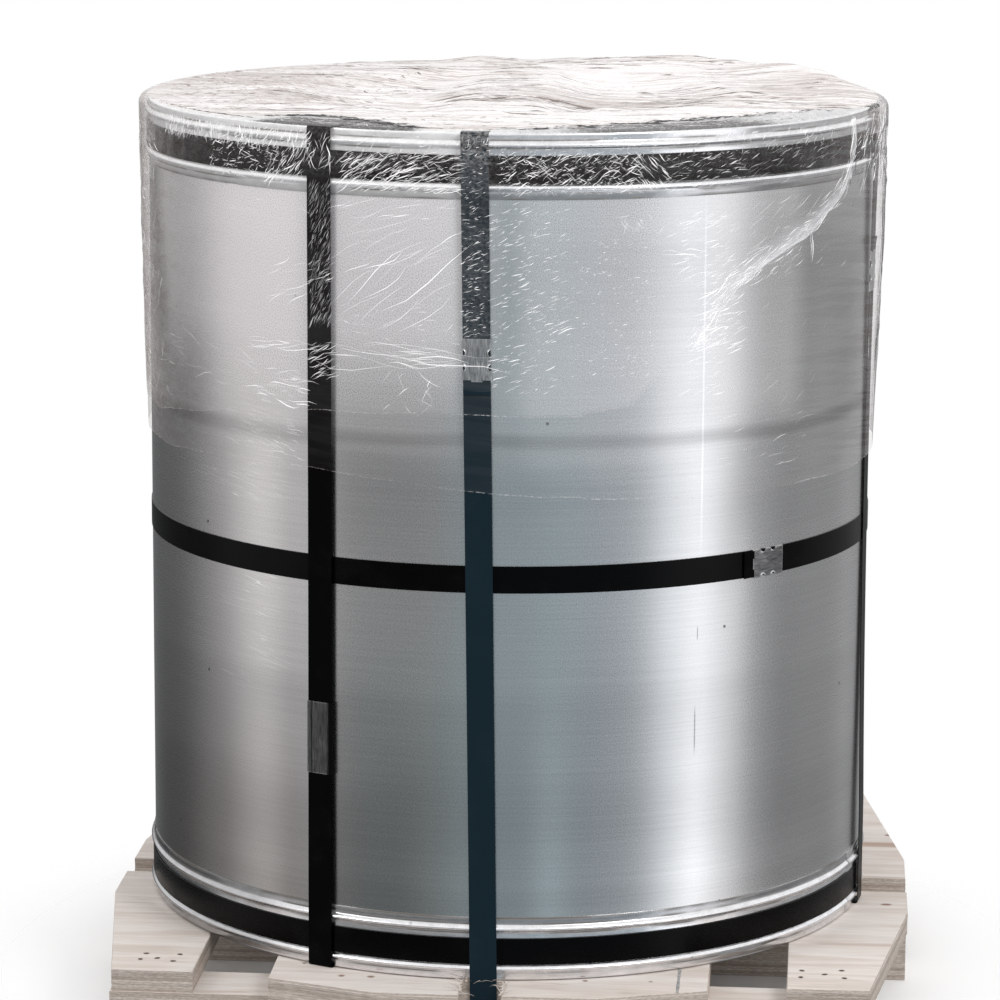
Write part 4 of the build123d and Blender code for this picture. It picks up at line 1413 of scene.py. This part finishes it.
def make_fold(name, thick, seed, material):
    """The gathered fold: a flat pleated rope of film with one sharp edge, thinner at its ends."""
    path = smooth_path(FOLD_KNOTS, FOLD_STATIONS)
    along = np.linspace(0, 1, FOLD_STATIONS)
    width = path[:, 2] * MM * (1 + 0.2 * gradient_noise(along * 9, 0.3, seed))
    flat = np.stack([COIL_R * np.radians(path[:, 0]), path[:, 1]], 1)
    forward = np.gradient(flat, axis=0)
    forward /= np.linalg.norm(forward, axis=1, keepdims=True)
    sideways = np.stack([-forward[:, 1], forward[:, 0]], 1)
    turn = np.linspace(0, 2 * np.pi, FOLD_SIDES, endpoint=False)
    round_it = turn[:, None] * FOLD_PLEATS / (2 * np.pi) + 1.5 * along[None, :]
    pleat = ridges(round_it, along[None, :] * 7, seed + 1, FOLD_PLEATS)
    across = width[None, :] * np.cos(turn)[:, None] * (1 + 0.2 * pleat)
    rise = thick * np.sin(turn)[:, None] * (1 + 0.4 * pleat)
    place = flat[None, :, :] + sideways[None, :, :] * across[..., None]
    height = np.minimum(place[..., 1], FILM_TOP - 4 * MM)
    azimuth = np.degrees(place[..., 0] / COIL_R)
    over = np.clip((height - (FILM_TOP - FILM_BEND)) / FILM_BEND, 0, 1)
    radius = film_radius(azimuth, height) + FILM_LIFT - 3 * MM * over ** 2 + np.maximum(rise, -0.3 * thick)
    points = around(azimuth, radius, height)
    aside = np.cos(turn)[:, None]
    white = 0.02 + 0.20 * smooth_step(aside, -0.9, 0.6) * (0.6 + pleat)
    white = white + 0.22 * smooth_step(aside, 0.82, 0.97)
    white = white * (smooth_step(along, 0, 0.06) * smooth_step(along, 1, 0.72))[None, :]
    return new_piece(name, points, tube_faces(FOLD_SIDES, FOLD_STATIONS), material,
                     attributes={"white": white})


# Splinters and filler at the pallet's front

def make_splinters(name, edges, level, count, seed, material):
    """Torn fibres along a sawn edge: thin bent slivers that start in the wood."""
    rng = np.random.default_rng(seed)
    points, faces = [], []
    for _ in range(count):
        start, end = edges[rng.integers(len(edges))]
        foot = np.array(start) + (np.array(end) - np.array(start)) * rng.uniform(0.03, 0.97)
        heading = rng.uniform(0, 2 * np.pi)
        length, width = rng.uniform(7, 24) * MM, rng.uniform(0.5, 1.3) * MM
        droop = rng.uniform(-0.2, 0.5)
        base = len(points)
        for share in (0, 0.35, 0.7, 1):
            reach = length * share - 3 * MM
            middle = np.array([foot[0] + reach * np.cos(heading), foot[1] + reach * np.sin(heading),
                               level + 0.4 * MM + length * (0.28 * share - droop * share ** 2)])
            slim = width * (1 - 0.85 * share)
            aside = np.array([-np.sin(heading), np.cos(heading), 0]) * slim
            below = np.array([0, 0, slim])
            points += [middle + aside, middle - aside, middle - aside - below, middle + aside - below]
        for ring in range(3):
            for corner in range(4):
                a, b = base + 4 * ring + corner, base + 4 * ring + (corner + 1) % 4
                faces.append([a, b, b + 4, a + 4])
        faces += [[base + 3, base + 2, base + 1, base], [base + 12, base + 13, base + 14, base + 15]]
    new_piece(name, np.array(points), faces, material, sharp=40)


# The filler bead's section, in shares of its half width and its rise.
SEAM_SECTION = ((-1.3, -0.5), (-0.8, 0.6), (0, 1.0), (0.8, 0.6), (1.3, -0.5))
SEAM_STATIONS = 24


def make_seam(name, x, start, end, level, seed, material):
    """A bead of filler in a joint of the face veneer."""
    place = np.arange(SEAM_STATIONS)
    y = np.linspace(start, end, SEAM_STATIONS)
    half = (1.7 + 0.8 * gradient_noise(place / 3, 0.4, seed)) * MM
    rise = (0.45 + 0.2 * gradient_noise(place / 2, 0.8, seed + 1)) * MM
    rows = [np.stack([x + half * across, y, level + rise * up], 1) for across, up in SEAM_SECTION]
    new_piece(name, np.array(rows), grid_faces(len(rows), SEAM_STATIONS), material)


# Studio

def add_camera():
    """The photo's camera: turned about the coil's axis, then pitched, yawed and rolled."""
    cp, sp = math.cos(CAMERA_PITCH), math.sin(CAMERA_PITCH)
    cy, sy = math.cos(CAMERA_YAW), math.sin(CAMERA_YAW)
    cr, sr = math.cos(CAMERA_ROLL), math.sin(CAMERA_ROLL)
    forward = Vector((cp * sy, cp * cy, -sp))
    level_up, level_right = Vector((sp * sy, sp * cy, cp)), Vector((cy, -sy, 0))
    right = cr * level_right - sr * level_up
    up = sr * level_right + cr * level_up
    axes = Matrix((right, up, -forward)).transposed().to_4x4()
    data = bpy.data.cameras.new("camera")
    data.lens, data.sensor_width = CAMERA_LENS, 36.0
    data.clip_end = 60.0
    camera = bpy.data.objects.new("camera", data)
    place = Vector((AXIS_X + CAMERA_DISTANCE * math.sin(CAMERA_TURN),
                    -CAMERA_DISTANCE * math.cos(CAMERA_TURN), CAMERA_HEIGHT))
    camera.matrix_world = Matrix.Translation(place) @ Matrix.Rotation(CAMERA_TURN, 4, "Z") @ axes
    bpy.context.scene.collection.objects.link(camera)
    bpy.context.scene.camera = camera


# Soft boxes low round the studio: azimuth, flat half width, soft edge, level and tint.
SOFT_BOXES = (
    (-79, 10, 18, 0.50, (1.0, 0.97, 0.97)),
    (66, 3, 17, 1.10, (1.0, 0.99, 1.0)),
    (32, 20, 34, 0.16, (0.72, 1.0, 1.22)),
    (150, 20, 40, 0.12, (1.0, 1.0, 1.0)),
    (-138, 14, 24, -0.13, (1.0, 1.0, 1.0)),
)
LOW_LEVEL, LOW_TINT = 0.23, (0.98, 1.0, 1.005)
DOME_LEVEL = 0.95


def add_world():
    """White for the camera and above the horizon; soft boxes low round the studio for the steel."""
    world = bpy.data.worlds.new("studio")
    bpy.context.scene.world = world
    world.use_nodes = True
    t = Tree(world.node_tree)
    direction = t.out("TexCoord", "Generated")
    level = t.vector("NORMALIZE", t.vector("MULTIPLY", direction, (1.0, 1.0, 0.0)))
    light = t.scaled(LOW_TINT, LOW_LEVEL)
    for azimuth, flat, soft, strength, tint in SOFT_BOXES:
        angle = math.radians(azimuth)
        facing = t.vector("DOT_PRODUCT", level, (math.sin(angle), -math.cos(angle), 0.0), "Value")
        inner, outer = math.cos(math.radians(flat)), math.cos(math.radians(flat + soft))
        light = t.vector("ADD", light, t.scaled(tint, t.remap(facing, outer, inner) * strength))
    dome = t.remap(t.split(direction)[2], -0.03, 0.25)
    light = t.mix(dome, light, grey(DOME_LEVEL))
    kinds = ("Camera", "Glossy", "Transmission")
    camera, glossy, through = (t.out("LightPath", f"Is {kind} Ray") for kind in kinds)
    seen = t.math("ADD", camera, (glossy + through) * dome, True)
    background = t.out("Background", 0, {"Color": t.mix(seen, light, grey(1.0))})
    t.put(t.add("OutputWorld").inputs["Surface"], background)


FLOOR_R, FLOOR_SIDES = 2.4, 96
# The floor is whole up to the first distance and clear from the second on.
FLOOR_WHOLE, FLOOR_CLEAR = 0.42, 0.78


def add_floor():
    """A pale floor that keeps the shadow and fades into the white background."""
    angle = np.linspace(0, 2 * np.pi, FLOOR_SIDES, endpoint=False)
    points = np.stack([FLOOR_R * np.cos(angle), FLOOR_R * np.sin(angle), np.full(FLOOR_SIDES, -0.5 * MM)], 1)
    mesh = bpy.data.meshes.new("floor")
    mesh.from_pydata(points.tolist(), [], [list(range(FLOOR_SIDES))])
    floor = bpy.data.objects.new("floor", mesh)
    bpy.context.scene.collection.objects.link(floor)
    t = new_tree("floor")
    place = t.object_place()
    paint = t.out("BsdfDiffuse", 0, {"Color": t.mix(t.noise(place, 3.0), grey(0.95), grey(0.97))})
    far = t.remap(t.vector("LENGTH", place, output="Value"), FLOOR_WHOLE, FLOOR_CLEAR)
    t.finish(t.out("MixShader", 0, {0: far, 1: paint, 2: t.out("BsdfTransparent", 0)}))
    mesh.materials.append(t.material)
    floor.visible_glossy = False


def add_lamp(name, place, aim, size, power):
    data = bpy.data.lights.new(name, "AREA")
    data.shape, data.size, data.energy = "DISK", size, power
    lamp = bpy.data.objects.new(name, data)
    lamp.location = place
    lamp.rotation_euler = (Vector(aim) - Vector(place)).to_track_quat("-Z", "Y").to_euler()
    bpy.context.scene.collection.objects.link(lamp)


def dress(nodes, material):
    """Puts one material on CAD nodes that stay as they are."""
    for name in nodes:
        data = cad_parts[name].data
        data.materials.clear()
        data.materials.append(material)


# The scene

bpy.context.scene.view_settings.view_transform = "Standard"
add_camera()
add_world()
add_floor()
add_lamp("key", (2.6, -3.0, 3.4), (0, 0, 0.6), 1.6, 75)
add_lamp("fill", (-3.0, -2.4, 3.0), (0, 0, 0.8), 1.2, 25)

coil_paint, ring_paint = coil_steel(), ring_steel()
black_paint = strap_lacquer("black_strap", (0.0012, 0.0012, 0.0014), (0.008, 0.0078, 0.008), 0.30, 0.035)
hoop_paint = strap_lacquer("black_hoop", (0.0006, 0.0006, 0.0007), (0.006, 0.0056, 0.0056), 0.26, 0.08)
green_paint = strap_lacquer("green_strap", (0.0062, 0.0168, 0.0245), (0.013, 0.026, 0.034), 0.34, 0.12)
bright_seal, grey_seal = seal_steel("bright_seal", 0.5, 0.3), seal_steel("grey_seal", 0.27, 0.34)
dull_seal = seal_steel("dull_seal", 0.12, 0.38)
wood, nail_paint = plywood(), nail_steel()

make_coil(coil_paint)
make_ring("top_edge_ring", COIL_TOP + RING_SHEET, 1, 21, 202.3, ring_paint, "top_edge_protector", 1.0)
make_ring("bottom_edge_ring", COIL_BOTTOM - RING_SHEET, -1, 31, 75.6, ring_paint, "bottom_edge_protector")

dress(("top_strap", "middle_strap", "bottom_strap"), hoop_paint)
dress(("cross_bearer_front", "cross_bearer_middle", "cross_bearer_back"), wood)

for name, azimuth, bow in (("front_left", FRONT_LEFT, LEFT_BOW), ("right", RIGHT, RIGHT_BOW),
                           ("back_left", BACK_LEFT, LEFT_BOW)):
    make_loop(f"eye_strap_{name}_band", f"eye_strap_{name}", azimuth, STRAP_IN, STRAP_LOW, no_lean, bow,
              black_paint)
make_loop("tie_down_strap_band", "tie_down_strap", 0.0, -STRAP_OUT, TIE_LOW, tie_lean, TIE_BOW, green_paint)

# Seals: the strap, the place on it, and on which side of the seal the strap's tail comes out.
CRIMPS = (-8.5 * MM, 8.5 * MM)
SHORT_SEAL, LONG_SEAL = (50 * MM, CRIMPS), (87 * MM, ())
SEALS = (
    ("top_strap", on_hoop(160.0, HOOP_OUT, 1073.25 * MM), SHORT_SEAL, bright_seal, 1),
    ("middle_strap", on_hoop(47.0, 451.2 * MM, 595.2 * MM), SHORT_SEAL, grey_seal, -1),
    ("bottom_strap", on_hoop(200.0, HOOP_OUT, 148.25 * MM), SHORT_SEAL, bright_seal, 1),
    ("eye_strap_front_left", on_loop(FRONT_LEFT, 393 * MM, LEFT_BOW), LONG_SEAL, dull_seal, 0),
    ("eye_strap_back_left", on_loop(BACK_LEFT, 393 * MM, LEFT_BOW), LONG_SEAL, dull_seal, 0),
    ("eye_strap_right", on_loop(RIGHT, 914 * MM, RIGHT_BOW), SHORT_SEAL, bright_seal, 1),
    ("tie_down_strap", on_loop(0.0, 854 * MM, TIE_BOW, tie_lean), SHORT_SEAL, bright_seal, -1),
)
for strap, place, (length, crimps), seal_paint, tail_side in SEALS:
    make_seal(f"{strap}_seal_sleeve", f"{strap}_seal", place, length, crimps, seal_paint)
    if tail_side:
        start, end = tail_side * (length / 2 - TAIL_IN), tail_side * (length / 2 + TAIL_OUT)
        green = strap == "tie_down_strap"
        make_tail(f"{strap}_tail", place, start, end, green_paint if green else black_paint)

board_seed = 100
for side, flip_y in (("front", -1), ("back", 1)):
    for part, corners, flip_x in (("centre", CENTRE_CORNERS, 1), ("left", SIDE_CORNERS, -1),
                                  ("right", SIDE_CORNERS, 1)):
        board_seed += 20
        shape = anticlockwise([(x * flip_x, y * flip_y) for x, y in corners])
        make_board(f"deck_board_{side}_{part}_ply", shape, DECK_LOW, DECK_TOP, board_seed, wood)

for number, (x, y) in enumerate(NAILS):
    for side, sign in (("front", 1), ("back", -1)):
        make_nail(f"nail_{side}_{number}", x, y * sign, DECK_TOP, 1.7 * number + sign, nail_paint)

make_seam("filler_seam_front", 0.2245, -0.384, -0.4765, DECK_TOP, 41, filler_paste())
for side, sign in (("front", -1), ("back", 1)):
    left, right = ([(x, sign * NOTCH_BACK), (x, sign * NOTCH_FRONT)] for x in (NOTCH_LEFT, NOTCH_RIGHT))
    make_splinters(f"splinters_{side}", (left, right, (left[0], right[0])), DECK_TOP, 46, 51 + sign, wood)

inner_paint = stretch_film("film_inner", 0.012, 0.0)
outer_paint = stretch_film("film_outer", 0.012, 3.7)
# White creases glow a little as painted glints; the dark ones are painted shade and shadow.
fold_paint = crease_film("film_fold", (0.90, 0.90, 0.92), (0.80, 0.80, 0.82), 0.06)
white_glint_crease = crease_film("film_white_glint_crease", (0.97, 0.95, 0.95), (0.92, 0.91, 0.92), 0.4)
top_glint_crease = crease_film("film_top_glint_crease", (0.97, 0.95, 0.95), (0.92, 0.91, 0.92), 0.12)
black_shadow_crease = crease_film("film_black_shadow_crease", (0.008, 0.008, 0.01), (0.04, 0.035, 0.036), 0.0)
grey_shade_crease = crease_film("film_grey_shade_crease", (0.055, 0.05, 0.052), (0.16, 0.145, 0.14), 0.0)
dark_shade_crease = crease_film("film_dark_shade_crease", (0.16, 0.12, 0.11), (0.32, 0.26, 0.23), 0.0)
inner_film = make_film("film_inner_layer", INNER_HEM, 0.0, INNER_SEED, INNER_COLUMNS, inner_paint,
                       ["film_wrap"])
outer_film = make_film("film_outer_layer", OUTER_HEM, FILM_LIFT, OUTER_SEED, OUTER_COLUMNS, outer_paint)
fold = make_fold("film_gathered_fold", 1.1 * MM, 91, fold_paint)
creases = [make_creases("film_side_creases", SIDE_CREASES + fold_bundles(), on_film_side, 95, white_glint_crease),
           make_creases("film_side_shade_creases", SIDE_SHADE_CREASES, on_film_side, 98, grey_shade_crease, 2.0),
           make_creases("film_top_creases", TOP_CREASES, on_film_top, 96, top_glint_crease),
           make_creases("film_top_shade_creases", SHADE_CREASES, on_film_top, 97, dark_shade_crease, 2.4),
           make_creases("film_rim_shadow_creases", rim_shadow_bundles(), on_film_top, 99, black_shadow_crease, 2.4)]
for piece in (inner_film, outer_film, fold, *creases):
    piece.visible_shadow = piece.visible_glossy = piece.visible_diffuse = False
